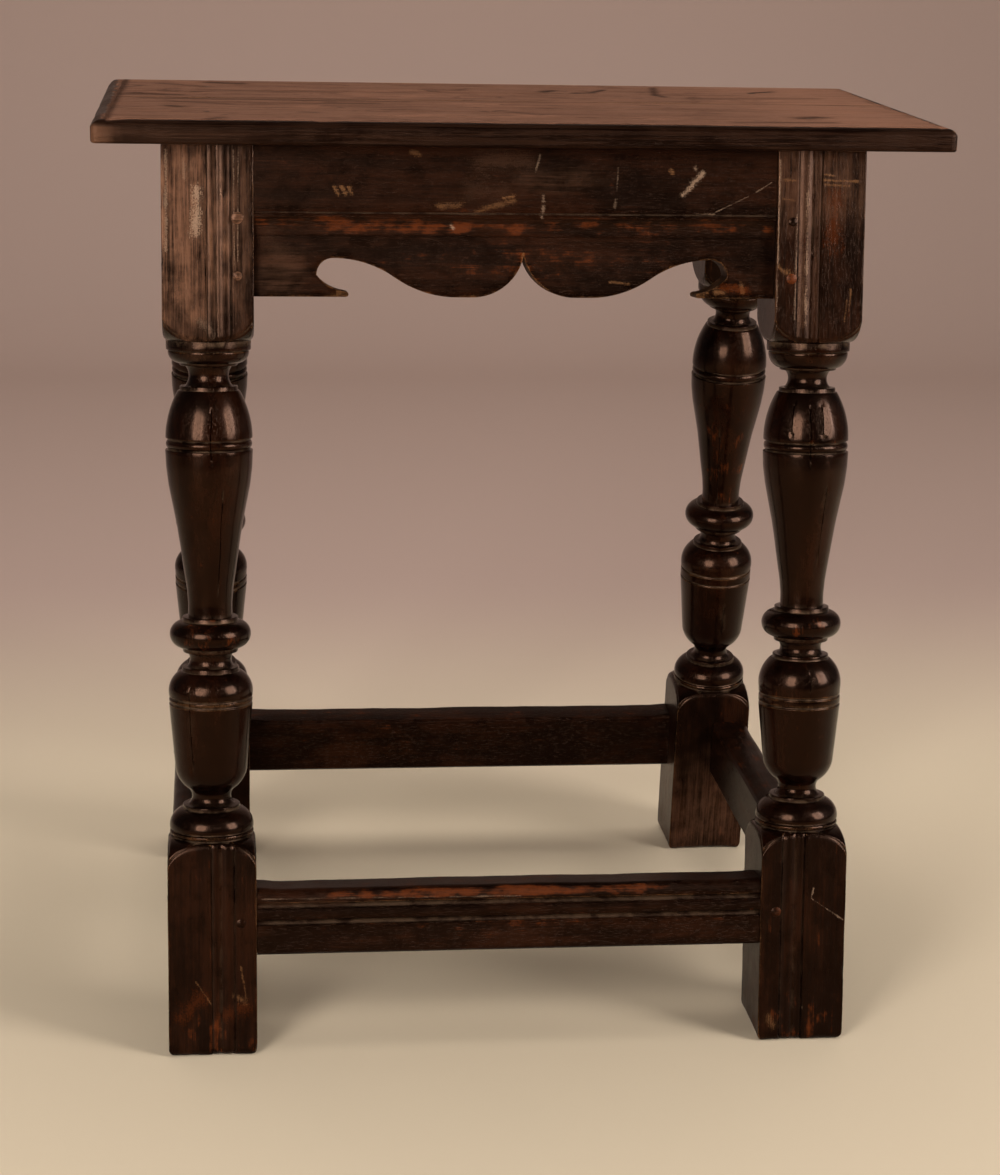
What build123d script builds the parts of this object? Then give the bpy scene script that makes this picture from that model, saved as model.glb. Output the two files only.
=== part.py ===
from build123d import *
import math
import os

# A joint stool: four turned and splayed legs, four scalloped frieze rails and four low stretchers,
# mortised together and held by pegs, under a thin top of two moulded boards.
# +Z is up and the front is -Y. The origin is on the floor below the middle of the top.
# All sizes are in millimetres and angles in degrees, unless a name says otherwise.

# Whole stool
stool_height = 532.0
top_length = 482.0
top_width = 280.0
top_thickness = 13.2
frame_shift = -5.6  # the frame stands this far off the middle of the top, along X

# Legs
leg_size = 51.0
foot_spread = 314.0  # between the leg axes along Y, on the floor
end_overhang = 43.0  # of the top beyond the legs, along X
side_overhang = 15.7  # of the top beyond the leg heads, along Y
foot_wear_radius = 3.5

# Top boards
board_joint_y = 6.0
board_joint_gap = 0.1
fascia_height = 8.9
fascia_arris = 1.6
thumb_width = 8.6  # the thumb moulding round the edge of the top
thumb_quirk = 0.7
thumb_swell = 1.7

# Turned part of a leg, from the foot upwards. A swell is how far a curve stands off its chord.
foot_block_height = 104.8
turning_spare = 0.2  # the pommels start this far outside the corners of the block
pommel_end_radius = 24.0
pommel_height = 18.5
pommel_swell = 4.2
quirk_depth = 0.9
quirk_height = 0.7
foot_bead_height = 3.0
foot_bead_swell = 1.2
foot_dome_height = 11.7
foot_dome_radius = 24.2
foot_dome_swell = 2.6
foot_fillet_height = 2.2
fillet_radius = 16.4
neck_entry_radius = 13.5
lower_neck_height = 9.4
lower_neck_swell = -2.3
vase_bowl_height = 11.0
vase_bowl_radius = 20.6
vase_bowl_swell = 1.3
vase_flare_height = 36.2
vase_rim_radius = 24.0
vase_groove_height = 1.6
vase_groove_swell = -0.7
vase_land_height = 2.6
vase_band_height = 1.0
vase_shoulder_height = 14.6
vase_shoulder_swell = 2.5
vase_shoulder_end_radius = 17.5
vase_fillet_height = 2.6
middle_neck_height = 8.7
middle_neck_swell = -1.5
ring_fillet_height = 2.5
ring_fillet_radius = 15.9
ring_height = 15.4
ring_root_radius = 16.6
ring_swell = 6.7
baluster_height = 94.8
baluster_neck_radius = 12.5
baluster_top_radius = 24.9
baluster_waist = 0.07  # share of the height up to the end of its straight neck
baluster_swelling = ((0.27, 0.18), (0.55, 0.5), (0.79, 0.86))  # shares of the height and of the swelling
baluster_neck_slope = (-0.3, 1.0)
band_height = 5.1
band_swell = 1.4
cup_rim_height = 1.6
cup_radius = 24.7
cup_height = 25.9
cup_end_radius = 17.4
cup_swell = 1.7
cup_fillet_height = 2.5
upper_neck_height = 10.2
upper_neck_swell = -2.2
collar_fillet_height = 1.5
collar_height = 8.9
collar_root_radius = 18.0
collar_radius = 23.0
collar_swell = 1.5
head_fillet_height = 5.2

# Moulding scratched up the outer faces of the blocks, set out from the inner arris of the face
face_moulding_start = 11.7
face_quirk_width = 1.3
face_quirk_depth = 1.3
face_bead_width = 7.0
face_bead_swell = 1.1
small_bead_width = 4.6
small_bead_swell = 0.5

# Frieze rails. Depths are measured inwards from the outer face of the legs.
rail_height = 84.3
rail_thickness = 24.4
rail_recess = 1.0
field_height = 33.9
field_depth = 5.8
rail_fillet_height = 3.3
rail_fillet_depth = 4.4
rail_hollow_height = 6.4
rail_hollow_swell = -1.1
rail_bead_height = 2.8
rail_bead_swell = 0.8
rail_quirk_height = 0.7
rail_quirk_depth = 1.9

# Sawn lower edge of the rails
scallop_rise = 21.6
scallop_lip = 3.0
cusp_height = 23.4
nub_reach = 8.6
nub_radius = 1.5
long_lobe_radius = 29.4
long_lobe_flat = 9.0
long_cut_distance = 107.0
side_lobe_radius = 13.5
side_lobe_flat = 3.0
side_cut_distance = 47.0
cusp_drop = 6.2  # the lobes of the short rails meet this far below those of the long ones
scallop_shift = 4.0  # the sawn edge of the long rails is set this far off the middle

# Stretchers
stretcher_bottom = 59.0
stretcher_height = 39.0
stretcher_thickness = 24.4
stretcher_recess = 1.0
stretcher_groove_starts = (17.6, 27.4)
stretcher_groove_widths = (3.3, 3.6)
stretcher_groove_depth = 1.5
stretcher_bead_swell = 0.5
stretcher_nosing = 6.0
stretcher_arris = 1.6

# Mortises and tenons. The setback is from the outer face of the leg.
tenon_setback = 10.0
tenon_thickness = 8.0
tenon_length = 29.0
tenon_root = 10.0  # how far a tenon is let back into its own member
rail_tenon_foot = 6.0
rail_tenon_haunch = 15.0
stretcher_tenon_margin = 3.0
tenon_clearance = 0.1
shoulder_clearance = 0.03

# Pegs
peg_diameter = 7.6
peg_length = 35.0
peg_tip_length = 6.0
peg_tip_diameter = 5.0
peg_clearance = 0.05
peg_setback = 9.2  # from the shoulder of the joint to the peg
rail_peg_heights = (11.5, 43.5)  # above the lower edge of the rail
top_peg_diameter = 8.0
top_peg_length = 40.0
top_peg_inset = 14.0  # from the axis of the leg head towards the middle of the stool

# Values worked out from the sizes above
leg_height = stool_height - top_thickness
half_leg = leg_size / 2
leg_spacing = top_length - leg_size - 2 * end_overhang
head_spread = top_width - leg_size - 2 * side_overhang
splay = math.degrees(math.atan((foot_spread - head_spread) / 2 / leg_height))
lean = math.tan(math.radians(splay))
leg_length = leg_height / math.cos(math.radians(splay))
cut_allowance = leg_size / 4
block_radius = math.hypot(half_leg, half_leg) + turning_spare
peg_radius = peg_diameter / 2
top_peg_radius = top_peg_diameter / 2

frame_middle = Pos(frame_shift, 0, 0)
front_plane = frame_middle * Pos(0, -foot_spread / 2, 0) * Rot(-splay, 0, 0)
right_plane = frame_middle * Pos(leg_spacing / 2, 0, 0) * Rot(0, 0, 90)


def half_turn(shape):
    """The same piece on the opposite side or corner of the frame."""
    return frame_middle * Rot(0, 0, 180) * frame_middle.inverse() * shape


def mirrored(shape):
    """The same piece at the other end of the frame."""
    return mirror(shape, about=Plane.YZ.offset(frame_shift))


def up_the_slope(height, outward):
    """Distance along the front plane of a point at this height, lying outward of the leg axes."""
    angle = math.radians(splay)
    return (height - outward * math.sin(angle)) / math.cos(angle)


class Section:
    """A moulded outline, drawn as one run of lines and arcs through points (across, height)."""

    def __init__(self, across, height):
        self.at = (across, height)
        self.edges = []

    def line(self, across, height):
        if math.dist(self.at, (across, height)) > 0:
            self.edges.append(Line(self.at, (across, height)))
        self.at = (across, height)
        return self

    def arc(self, across, height, swell):
        """An arc whose middle stands off its chord by swell, to the right of the way it is drawn."""
        (x0, z0), (x1, z1) = self.at, (across, height)
        chord = math.dist((x0, z0), (x1, z1))
        middle = ((x0 + x1) / 2 + swell * (z1 - z0) / chord, (z0 + z1) / 2 - swell * (x1 - x0) / chord)
        self.edges.append(ThreePointArc(self.at, middle, (x1, z1)))
        self.at = (x1, z1)
        return self

    def spline(self, points, start, end):
        self.edges.append(Spline([self.at, *points], tangents=[start, end]))
        self.at = points[-1]
        return self

    def face(self, plane):
        closing = Line(self.at, self.edges[0] @ 0)
        return plane * make_face([*self.edges, closing])


def quarter_swell(radius):
    return radius * (1 - math.sqrt(0.5))


# ---------------------------------------------------------------- legs


def turned_section():
    """Half section of a leg: radius across, height up its axis."""
    quirk_radius = pommel_end_radius - quirk_depth
    z = foot_block_height
    section = Section(0, -cut_allowance).line(block_radius, -cut_allowance).line(block_radius, z)

    # foot: pommel, bead and dome under the lower neck
    z += pommel_height
    section.arc(pommel_end_radius, z, pommel_swell).line(quirk_radius, z)
    z += quirk_height
    section.line(quirk_radius, z)
    z += foot_bead_height
    section.arc(quirk_radius, z, foot_bead_swell)
    z += quirk_height
    section.line(quirk_radius, z).line(foot_dome_radius, z)
    z += foot_dome_height
    section.arc(fillet_radius, z, foot_dome_swell)
    z += foot_fillet_height
    section.line(fillet_radius, z).line(neck_entry_radius, z)
    z += lower_neck_height
    section.arc(neck_entry_radius, z, lower_neck_swell)

    # vase: bowl, flare, two scored rings and a round shoulder
    z += vase_bowl_height
    section.arc(vase_bowl_radius, z, vase_bowl_swell)
    z += vase_flare_height
    section.line(vase_rim_radius, z)
    z += vase_groove_height
    section.arc(vase_rim_radius, z, vase_groove_swell)
    z += vase_land_height
    section.line(vase_rim_radius, z)
    z += vase_groove_height
    section.arc(vase_rim_radius, z, vase_groove_swell)
    z += vase_band_height
    section.line(vase_rim_radius, z)
    z += vase_shoulder_height
    section.arc(vase_shoulder_end_radius, z, vase_shoulder_swell).line(fillet_radius, z)
    z += vase_fillet_height
    section.line(fillet_radius, z).line(neck_entry_radius, z)

    # ring between two fillets
    z += middle_neck_height
    section.arc(neck_entry_radius, z, middle_neck_swell).line(ring_fillet_radius, z)
    z += ring_fillet_height
    section.line(ring_fillet_radius, z).line(ring_root_radius, z)
    z += ring_height
    section.arc(ring_root_radius, z, ring_swell).line(ring_fillet_radius, z)
    z += ring_fillet_height
    section.line(ring_fillet_radius, z).line(neck_entry_radius, z)

    # baluster: a long swelling body on a slender neck
    swelling = baluster_top_radius - baluster_neck_radius
    body = [(baluster_neck_radius, z + baluster_waist * baluster_height)]
    for height, swell in baluster_swelling:
        body.append((baluster_neck_radius + swell * swelling, z + height * baluster_height))
    body.append((baluster_top_radius, z + baluster_height))
    section.spline(body, baluster_neck_slope, (0, 1))
    z += baluster_height

    # quirked bead, cup and fillet under the upper neck
    section.line(quirk_radius, z)
    z += quirk_height
    section.line(quirk_radius, z)
    z += band_height
    section.arc(quirk_radius, z, band_swell)
    z += quirk_height
    section.line(quirk_radius, z).line(cup_radius, z)
    z += cup_rim_height
    section.line(cup_radius, z)
    z += cup_height
    section.arc(cup_end_radius, z, cup_swell).line(fillet_radius, z)
    z += cup_fillet_height
    section.line(fillet_radius, z).line(neck_entry_radius, z)
    z += upper_neck_height
    section.arc(neck_entry_radius, z, upper_neck_swell).line(fillet_radius, z)

    # collar and pommel under the head block
    z += collar_fillet_height
    section.line(fillet_radius, z).line(collar_root_radius, z)
    z += collar_height
    section.arc(collar_radius, z, collar_swell).line(quirk_radius - quirk_depth, z)
    z += quirk_height
    section.line(quirk_radius - quirk_depth, z).line(pommel_end_radius, z)
    z += head_fillet_height
    section.line(pommel_end_radius, z)
    z += pommel_height
    section.arc(block_radius, z, pommel_swell)
    section.line(block_radius, leg_length + cut_allowance).line(0, leg_length + cut_allowance)
    return section.face(Plane.XZ), z


def face_mouldings(low, high):
    """What is cut away up both outer faces of an upright leg to leave a large and a small bead."""
    floor = face_quirk_depth - half_leg
    x = half_leg - face_moulding_start
    section = Section(x, -half_leg)
    x -= face_quirk_width
    section.line(x, floor)
    x -= face_bead_width
    section.arc(x, floor, -face_bead_swell)
    x -= face_quirk_width
    section.line(x, floor)
    x -= small_bead_width
    section.arc(x, floor, -small_bead_swell).line(x, -half_leg)
    cutter = Pos(0, 0, low) * extrude(section.face(Plane.XY), amount=high - low, dir=(0, 0, 1))
    return [cutter, mirror(cutter, about=Plane((0, 0, 0), x_dir=(1, 1, 0), z_dir=(1, -1, 0)))]


def front_left_leg():
    """Turned about its own axis with its inner faces towards +X and +Y, then leaned into place."""
    stand = front_plane * Pos(-leg_spacing / 2, 0, 0)
    turned, head_block_start = turned_section()
    bar = Pos(0, 0, leg_length / 2) * Box(leg_size, leg_size, leg_length + 2 * cut_allowance)
    leg = stand * (bar & revolve(turned, Axis.Z))
    leg = leg & Pos(frame_shift, 0, leg_height / 2) * Box(top_length, 2 * foot_spread, leg_height)
    foot_edges = leg.faces().sort_by(Axis.Z)[0].outer_wire().edges()
    leg = fillet(foot_edges, foot_wear_radius)
    foot_block = (-cut_allowance, foot_block_height + pommel_height)
    head_block = (head_block_start - pommel_height, leg_length + cut_allowance)
    for moulding in face_mouldings(*foot_block) + face_mouldings(*head_block):
        leg -= stand * moulding
    for mortise in (rail_tenon, stretcher_tenon):
        leg -= mirrored(mortise(front_plane, 0, tenon_clearance))
        leg -= half_turn(mortise(right_plane, lean, tenon_clearance))
    for hole in long_rail_pegs(peg_clearance) + long_stretcher_pegs(peg_clearance):
        leg -= hole
    for hole in side_rail_pegs(peg_clearance) + side_stretcher_pegs(peg_clearance):
        leg -= half_turn(hole)
    for hole in top_pegs(peg_clearance):
        leg -= hole
    return leg


# ---------------------------------------------------------------- rails and stretchers

# A member lies in a plane whose X runs along it, whose Z runs up it and whose outer side is -Y.
# The legs' inner faces cross that plane at x = end(z), which narrows by the lean as z goes up.


def member_end(slope, height):
    if slope == 0:
        return leg_spacing / 2 - half_leg
    return foot_spread / 2 - half_leg / math.cos(math.radians(splay)) - slope * height


def member_base(slope, height, recess):
    """Where a member's lower edge lies in its own plane."""
    return height if slope else up_the_slope(height, half_leg - recess)


def trapezoid(slope, low, high, depth_from, depth_to):
    """A member's whole envelope, shouldered against the legs."""
    ends = [member_end(slope, z) - shoulder_clearance for z in (low, high)]
    outline = Polyline((-ends[0], low), (ends[0], low), (ends[1], high), (-ends[1], high), close=True)
    board = extrude(Plane.XZ * make_face(outline), amount=depth_to - depth_from, dir=(0, 1, 0))
    return Pos(0, depth_from - half_leg, 0) * board


def tenon(slope, low, high, spare):
    """The tenon at the +X end of a member, grown by spare on every side to make its mortise."""
    low, high = low - spare, high + spare
    far = tenon_length + spare
    points = [
        (member_end(slope, low) - tenon_root, low),
        (member_end(slope, low) + far, low),
        (member_end(slope, high) + far, high),
        (member_end(slope, high) - tenon_root, high),
    ]
    outline = Plane.XZ * make_face(Polyline(*points, close=True))
    blade = extrude(outline, amount=tenon_thickness + 2 * spare, dir=(0, 1, 0))
    return Pos(0, tenon_setback - half_leg - spare, 0) * blade


def rail_tenon(plane, slope, spare):
    base = member_base(slope, leg_height - rail_height, rail_recess)
    return plane * tenon(slope, base + rail_tenon_foot, base + rail_height - rail_tenon_haunch, spare)


def stretcher_tenon(plane, slope, spare):
    base = member_base(slope, stretcher_bottom, stretcher_recess)
    top = base + stretcher_height
    return plane * tenon(slope, base + stretcher_tenon_margin, top - stretcher_tenon_margin, spare)


def rail_section(base, top):
    """Cross-section of a rail: depth from the outer face of the legs, height from the lower edge."""
    face = rail_recess - half_leg
    back = face + rail_thickness
    z = base + field_height
    section = Section(back, top).line(back, base).line(field_depth - half_leg, base)
    section.line(field_depth - half_leg, z).line(rail_fillet_depth - half_leg, z)
    z += rail_fillet_height
    section.line(rail_fillet_depth - half_leg, z)
    z += rail_hollow_height
    section.arc(rail_quirk_depth - half_leg, z, rail_hollow_swell)
    z += rail_bead_height
    section.arc(rail_quirk_depth - half_leg, z, -rail_bead_swell)
    z += rail_quirk_height
    section.line(rail_quirk_depth - half_leg, z).line(face, z).line(face, top)
    return section.face(Plane.YZ)


def scalloped_outline(slope, base, top, lobe_radius, lobe_flat, cut_distance, cusp, shift):
    """Front view of a rail: two lobes meeting in a cusp, long ogees, and a round cut by each bracket."""
    lobe_middle = math.sqrt(lobe_radius**2 - (lobe_radius - cusp) ** 2)
    ogee_start = lobe_middle + lobe_flat
    ogee_middle = (ogee_start + cut_distance) / 2
    half_chord = math.hypot(cut_distance - ogee_start, scallop_rise) / 2
    ogee_radius = half_chord**2 / scallop_rise
    ogee_swell = ogee_radius - math.sqrt(ogee_radius**2 - (half_chord / 2) ** 2)
    cut_radius = (scallop_rise - scallop_lip) / 2
    nub_middle = cut_distance - nub_reach + nub_radius
    lobe_swell = lobe_radius - math.sqrt(lobe_radius**2 - (lobe_middle**2 + cusp**2) / 4)
    half = Section(0, base + cusp).arc(lobe_middle, base, lobe_swell)
    half.line(ogee_start, base).arc(ogee_middle, base + scallop_rise / 2, ogee_swell)
    half.arc(cut_distance, base + scallop_rise, -ogee_swell)
    half.arc(cut_distance + cut_radius, base + scallop_rise - cut_radius, -quarter_swell(cut_radius))
    half.arc(cut_distance, base + scallop_lip, -quarter_swell(cut_radius))
    half.line(nub_middle, base + 2 * nub_radius).arc(nub_middle, base, nub_radius)
    half.line(member_end(slope, base) + cut_allowance, base)
    half.line(member_end(slope, base) + cut_allowance, top).line(0, top)
    right = half.face(Plane.XZ)
    return Pos(shift, 0, 0) * (right + mirror(right, about=Plane.YZ))


def rail(slope, lobe_radius, lobe_flat, cut_distance, cusp, shift):
    """A frieze rail in its own plane, without its tenons."""
    base = member_base(slope, leg_height - rail_height, rail_recess)
    top = base + rail_height + cut_allowance
    reach = member_end(slope, base)
    board = Pos(-reach, 0, 0) * extrude(rail_section(base, top), amount=2 * reach, dir=(1, 0, 0))
    outline = scalloped_outline(slope, base, top, lobe_radius, lobe_flat, cut_distance, cusp, shift)
    board = board & extrude(outline, amount=leg_size, both=True)
    return board & trapezoid(slope, base, top, 0, leg_size)


def stretcher(slope):
    """A low stretcher in its own plane, without its tenons."""
    base = member_base(slope, stretcher_bottom, stretcher_recess)
    top = base + stretcher_height
    face = stretcher_recess - half_leg
    back = face + stretcher_thickness
    section = Section(back - stretcher_arris, base).line(face + stretcher_arris, base)
    section.line(face, base + stretcher_arris)
    (low_start, high_start), (low_width, high_width) = stretcher_groove_starts, stretcher_groove_widths
    section.line(face, base + low_start)
    section.arc(face, base + low_start + low_width, stretcher_groove_depth)
    section.arc(face, base + high_start, -stretcher_bead_swell)
    section.arc(face, base + high_start + high_width, stretcher_groove_depth)
    section.line(face, top - stretcher_nosing)
    section.arc(face + stretcher_nosing, top, -quarter_swell(stretcher_nosing))
    section.line(back - stretcher_arris, top).line(back, top - stretcher_arris)
    section.line(back, base + stretcher_arris)
    reach = member_end(slope, base)
    bar = Pos(-reach, 0, 0) * extrude(section.face(Plane.YZ), amount=2 * reach, dir=(1, 0, 0))
    return bar & trapezoid(slope, base, top, 0, leg_size)


def pair(side_tenon):
    """Both tenons of a side member, from its tenon at the back."""
    return [side_tenon, mirror(side_tenon, about=Plane.XZ)]


def jointed(member, plane, tenons, peg_holes):
    """A member in its place, with both tenons on and bored for its pegs."""
    piece = plane * member
    for blade in tenons:
        piece += blade
    for hole in peg_holes:
        piece -= hole
    return piece


# ---------------------------------------------------------------- pegs


def peg(spare, length):
    """A peg driven along +Y from the outer face of a leg, with its end brought to a taper."""
    radius = peg_radius + spare
    if spare > 0:
        return extrude(Plane.XZ * Circle(radius), length + spare, (0, 1, 0))
    taper = Section(0, 0).line(radius, 0).line(radius, length - peg_tip_length)
    taper.line(peg_tip_diameter / 2, length).line(0, length)
    return Rot(-90, 0, 0) * revolve(taper.face(Plane.XZ), Axis.Z)


def pegs(plane, slope, base, heights, spare):
    """Pegs through both tenons of a member."""
    result = []
    for height in heights:
        z = base + height
        for end in (-1, 1):
            x = end * (member_end(slope, z) + peg_setback)
            result.append(plane * Pos(x, -half_leg, z) * peg(spare, peg_length))
    return result


def long_rail_pegs(spare):
    base = member_base(0, leg_height - rail_height, rail_recess)
    return pegs(front_plane, 0, base, rail_peg_heights, spare)


def side_rail_pegs(spare):
    base = member_base(lean, leg_height - rail_height, rail_recess)
    return pegs(right_plane, lean, base, rail_peg_heights, spare)


def long_stretcher_pegs(spare):
    base = member_base(0, stretcher_bottom, stretcher_recess)
    return pegs(front_plane, 0, base, (stretcher_height / 2,), spare)


def side_stretcher_pegs(spare):
    base = member_base(lean, stretcher_bottom, stretcher_recess)
    return pegs(right_plane, lean, base, (stretcher_height / 2,), spare)


def top_pegs(spare):
    """Pegs driven down through the top into the four leg heads."""
    radius = top_peg_radius + spare
    length = top_peg_length + spare
    result = []
    for end in (-1, 1):
        for side in (-1, 1):
            x = frame_shift + end * leg_spacing / 2
            y = side * (head_spread / 2 - top_peg_inset)
            result.append(Pos(x, y, stool_height - length / 2) * Cylinder(radius, length))
    return result


# ---------------------------------------------------------------- top


def edge_section(half_width, across):
    """Section of the top: flat below, an upright fascia and a thumb moulding up to the face."""
    foot = leg_height
    fascia_top = foot + fascia_height
    half = Section(0, foot).line(half_width - fascia_arris, foot)
    half.arc(half_width, foot + fascia_arris, quarter_swell(fascia_arris)).line(half_width, fascia_top)
    half.arc(half_width - thumb_width, stool_height - thumb_quirk, thumb_swell)
    half.line(half_width - thumb_width, stool_height).line(0, stool_height)
    right = half.face(across)
    return right + mirror(right, about=Plane.YZ if across == Plane.XZ else Plane.XZ)


def top_board(low_y, high_y):
    lengthwise = extrude(edge_section(top_length / 2, Plane.XZ), amount=top_width, both=True)
    crosswise = extrude(edge_section(top_width / 2, Plane.YZ), amount=top_length, both=True)
    middle = (low_y + high_y) / 2
    share = Pos(0, middle, stool_height) * Box(2 * top_length, high_y - low_y, stool_height)
    board = lengthwise & crosswise & share
    for hole in top_pegs(peg_clearance):
        board -= hole
    return board


# ---------------------------------------------------------------- the whole stool


def build():
    leg = front_left_leg()
    long_tenons = [tool(front_plane, 0, 0) for tool in (rail_tenon, stretcher_tenon)]
    side_tenons = [tool(right_plane, lean, 0) for tool in (rail_tenon, stretcher_tenon)]
    long_rail = rail(0, long_lobe_radius, long_lobe_flat, long_cut_distance, cusp_height, scallop_shift)
    side_rail = rail(lean, side_lobe_radius, side_lobe_flat, side_cut_distance, cusp_height - cusp_drop, 0)
    roof = Pos(0, 0, leg_height / 2) * Box(2 * top_length, 2 * foot_spread, leg_height)

    front_rail = jointed(long_rail, front_plane, [long_tenons[0], mirrored(long_tenons[0])],
                         long_rail_pegs(peg_clearance)) & roof
    right_rail = jointed(side_rail, right_plane, pair(side_tenons[0]), side_rail_pegs(peg_clearance)) & roof
    front_stretcher = jointed(stretcher(0), front_plane, [long_tenons[1], mirrored(long_tenons[1])],
                              long_stretcher_pegs(peg_clearance))
    right_stretcher = jointed(stretcher(lean), right_plane, pair(side_tenons[1]),
                              side_stretcher_pegs(peg_clearance))
    right_leg = mirrored(leg)
    joint = board_joint_gap / 2
    nodes = {
        "top_board_front": top_board(-top_width, board_joint_y - joint),
        "top_board_back": top_board(board_joint_y + joint, top_width),
        "leg_front_left": leg,
        "leg_front_right": right_leg,
        "leg_back_right": half_turn(leg),
        "leg_back_left": half_turn(right_leg),
        "rail_front": front_rail,
        "rail_back": half_turn(front_rail),
        "rail_right": right_rail,
        "rail_left": half_turn(right_rail),
        "stretcher_front": front_stretcher,
        "stretcher_back": half_turn(front_stretcher),
        "stretcher_right": right_stretcher,
        "stretcher_left": half_turn(right_stretcher),
        "pegs_top": Compound(top_pegs(0)),
    }
    for member, front_pegs, right_pegs in (
        ("rail", long_rail_pegs(0), side_rail_pegs(0)),
        ("stretcher", long_stretcher_pegs(0), side_stretcher_pegs(0)),
    ):
        nodes[f"pegs_{member}_front"] = Compound(front_pegs)
        nodes[f"pegs_{member}_back"] = half_turn(Compound(front_pegs))
        nodes[f"pegs_{member}_right"] = Compound(right_pegs)
        nodes[f"pegs_{member}_left"] = half_turn(Compound(right_pegs))
    return nodes


os.makedirs("parts", exist_ok=True)
for node, shape in build().items():
    shape.label = node
    export_step(shape, f"parts/{node}.step")
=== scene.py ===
import math
from collections import namedtuple

import bmesh
import bpy
from bpy.props import FloatProperty, FloatVectorProperty, PointerProperty
from bpy.types import Operator, Panel, PropertyGroup
from mathutils import Matrix, Vector, noise


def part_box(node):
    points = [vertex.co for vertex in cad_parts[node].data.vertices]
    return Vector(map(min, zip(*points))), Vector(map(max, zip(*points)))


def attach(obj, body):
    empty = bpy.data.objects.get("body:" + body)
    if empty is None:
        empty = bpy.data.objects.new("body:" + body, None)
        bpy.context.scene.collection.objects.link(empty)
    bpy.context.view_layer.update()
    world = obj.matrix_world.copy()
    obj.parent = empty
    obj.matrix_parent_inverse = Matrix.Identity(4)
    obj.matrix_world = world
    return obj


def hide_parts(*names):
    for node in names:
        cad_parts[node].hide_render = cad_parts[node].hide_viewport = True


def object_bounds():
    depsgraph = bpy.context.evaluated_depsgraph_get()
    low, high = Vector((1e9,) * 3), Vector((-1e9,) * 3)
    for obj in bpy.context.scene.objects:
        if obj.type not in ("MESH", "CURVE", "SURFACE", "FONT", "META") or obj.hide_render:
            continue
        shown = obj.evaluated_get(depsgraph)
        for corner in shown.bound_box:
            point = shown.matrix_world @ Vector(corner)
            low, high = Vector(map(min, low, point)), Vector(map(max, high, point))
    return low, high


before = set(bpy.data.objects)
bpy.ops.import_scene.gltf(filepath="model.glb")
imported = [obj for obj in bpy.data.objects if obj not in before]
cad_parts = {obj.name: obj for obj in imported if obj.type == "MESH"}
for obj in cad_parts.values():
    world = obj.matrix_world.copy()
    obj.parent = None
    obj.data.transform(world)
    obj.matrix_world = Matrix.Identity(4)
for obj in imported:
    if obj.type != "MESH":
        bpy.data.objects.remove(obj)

bl_info = {
    "name": "Joint Stool",
    "version": (1, 0, 0),
    "blender": (4, 5, 0),
    "location": "View3D > Sidebar > Joint Stool",
    "description": "Dresses a pegged oak joint stool with turned legs, scalloped rails and a moulded top",
    "category": "Object",
}

# Shapes are modelled in millimetres, each piece in its own frame, and are put in place in metres.
MM = 0.001
FRAME_LOW, FRAME_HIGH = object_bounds()


def node_size(node):
    """How long, wide and high a node of the frame is, in millimetres."""
    low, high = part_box(node)
    return (high - low) / MM


# ---------------------------------------------------------------- sizes that the joints share

STOOL_HEIGHT = FRAME_HIGH.z / MM
TOP_THICKNESS = node_size("top_board_front").z
TOP_LENGTH = node_size("top_board_front").x
TOP_WIDTH = (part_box("top_board_back")[1].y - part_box("top_board_front")[0].y) / MM
BOARD_JOINT = (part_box("top_board_front")[1].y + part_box("top_board_back")[0].y) / 2 / MM
LEG_HEIGHT = STOOL_HEIGHT - TOP_THICKNESS
LEG_SIZE = node_size("leg_front_left").x
HALF_LEG = LEG_SIZE / 2
LEFT_LEG, RIGHT_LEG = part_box("leg_front_left"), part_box("leg_front_right")
FRAME_SHIFT = (LEFT_LEG[0].x + RIGHT_LEG[1].x) / 2 / MM
LEG_SPACING = (RIGHT_LEG[0].x - LEFT_LEG[0].x) / MM
FOOT_SPREAD = 314.0  # between the axes of a front and a back leg, at the floor
HEAD_SPREAD = 197.6  # and under the top
SPLAY = math.atan((FOOT_SPREAD - HEAD_SPREAD) / 2 / LEG_HEIGHT)
LEG_LENGTH = LEG_HEIGHT / math.cos(SPLAY)
CUT_ALLOWANCE = LEG_SIZE / 4  # spare length of a leg before its foot and head are cut level
MEMBER_RECESS = 1.0  # of rails and stretchers, behind the outer faces of the legs
MEMBER_THICKNESS = 24.4
SHOULDER_GAP = 0.03

# Two legs stand in each of these planes, with X across from leg to leg and Z up between them. The
# plane of the front leans back. A mirror or a half turn about the middle gives the other pieces.
FRAME_MIDDLE = Matrix.Translation((FRAME_SHIFT, 0, 0))
FRONT_PLANE = FRAME_MIDDLE @ Matrix.Translation((0, -FOOT_SPREAD / 2, 0)) @ Matrix.Rotation(-SPLAY, 4, "X")
RIGHT_PLANE = (FRAME_MIDDLE @ Matrix.Translation((LEG_SPACING / 2, 0, 0))
               @ Matrix.Rotation(math.pi / 2, 4, "Z"))
MIRROR = FRAME_MIDDLE @ Matrix.Scale(-1, 4, (1, 0, 0)) @ FRAME_MIDDLE.inverted()
HALF_TURN = FRAME_MIDDLE @ Matrix.Rotation(math.pi, 4, "Z") @ FRAME_MIDDLE.inverted()
LEG_STAND = FRONT_PLANE @ Matrix.Translation((-LEG_SPACING / 2, 0, 0))


# ---------------------------------------------------------------- settings a user would change


def length(name, description, default):
    """A setting in millimetres, kept in metres."""
    return FloatProperty(name=name, description=description, default=default * MM, min=0.0,
                         unit="LENGTH", subtype="DISTANCE", precision=5)


def share(name, description, default):
    """A setting from 0 to 1."""
    return FloatProperty(name=name, description=description, default=default, min=0.0, max=1.0,
                         subtype="FACTOR")


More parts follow.
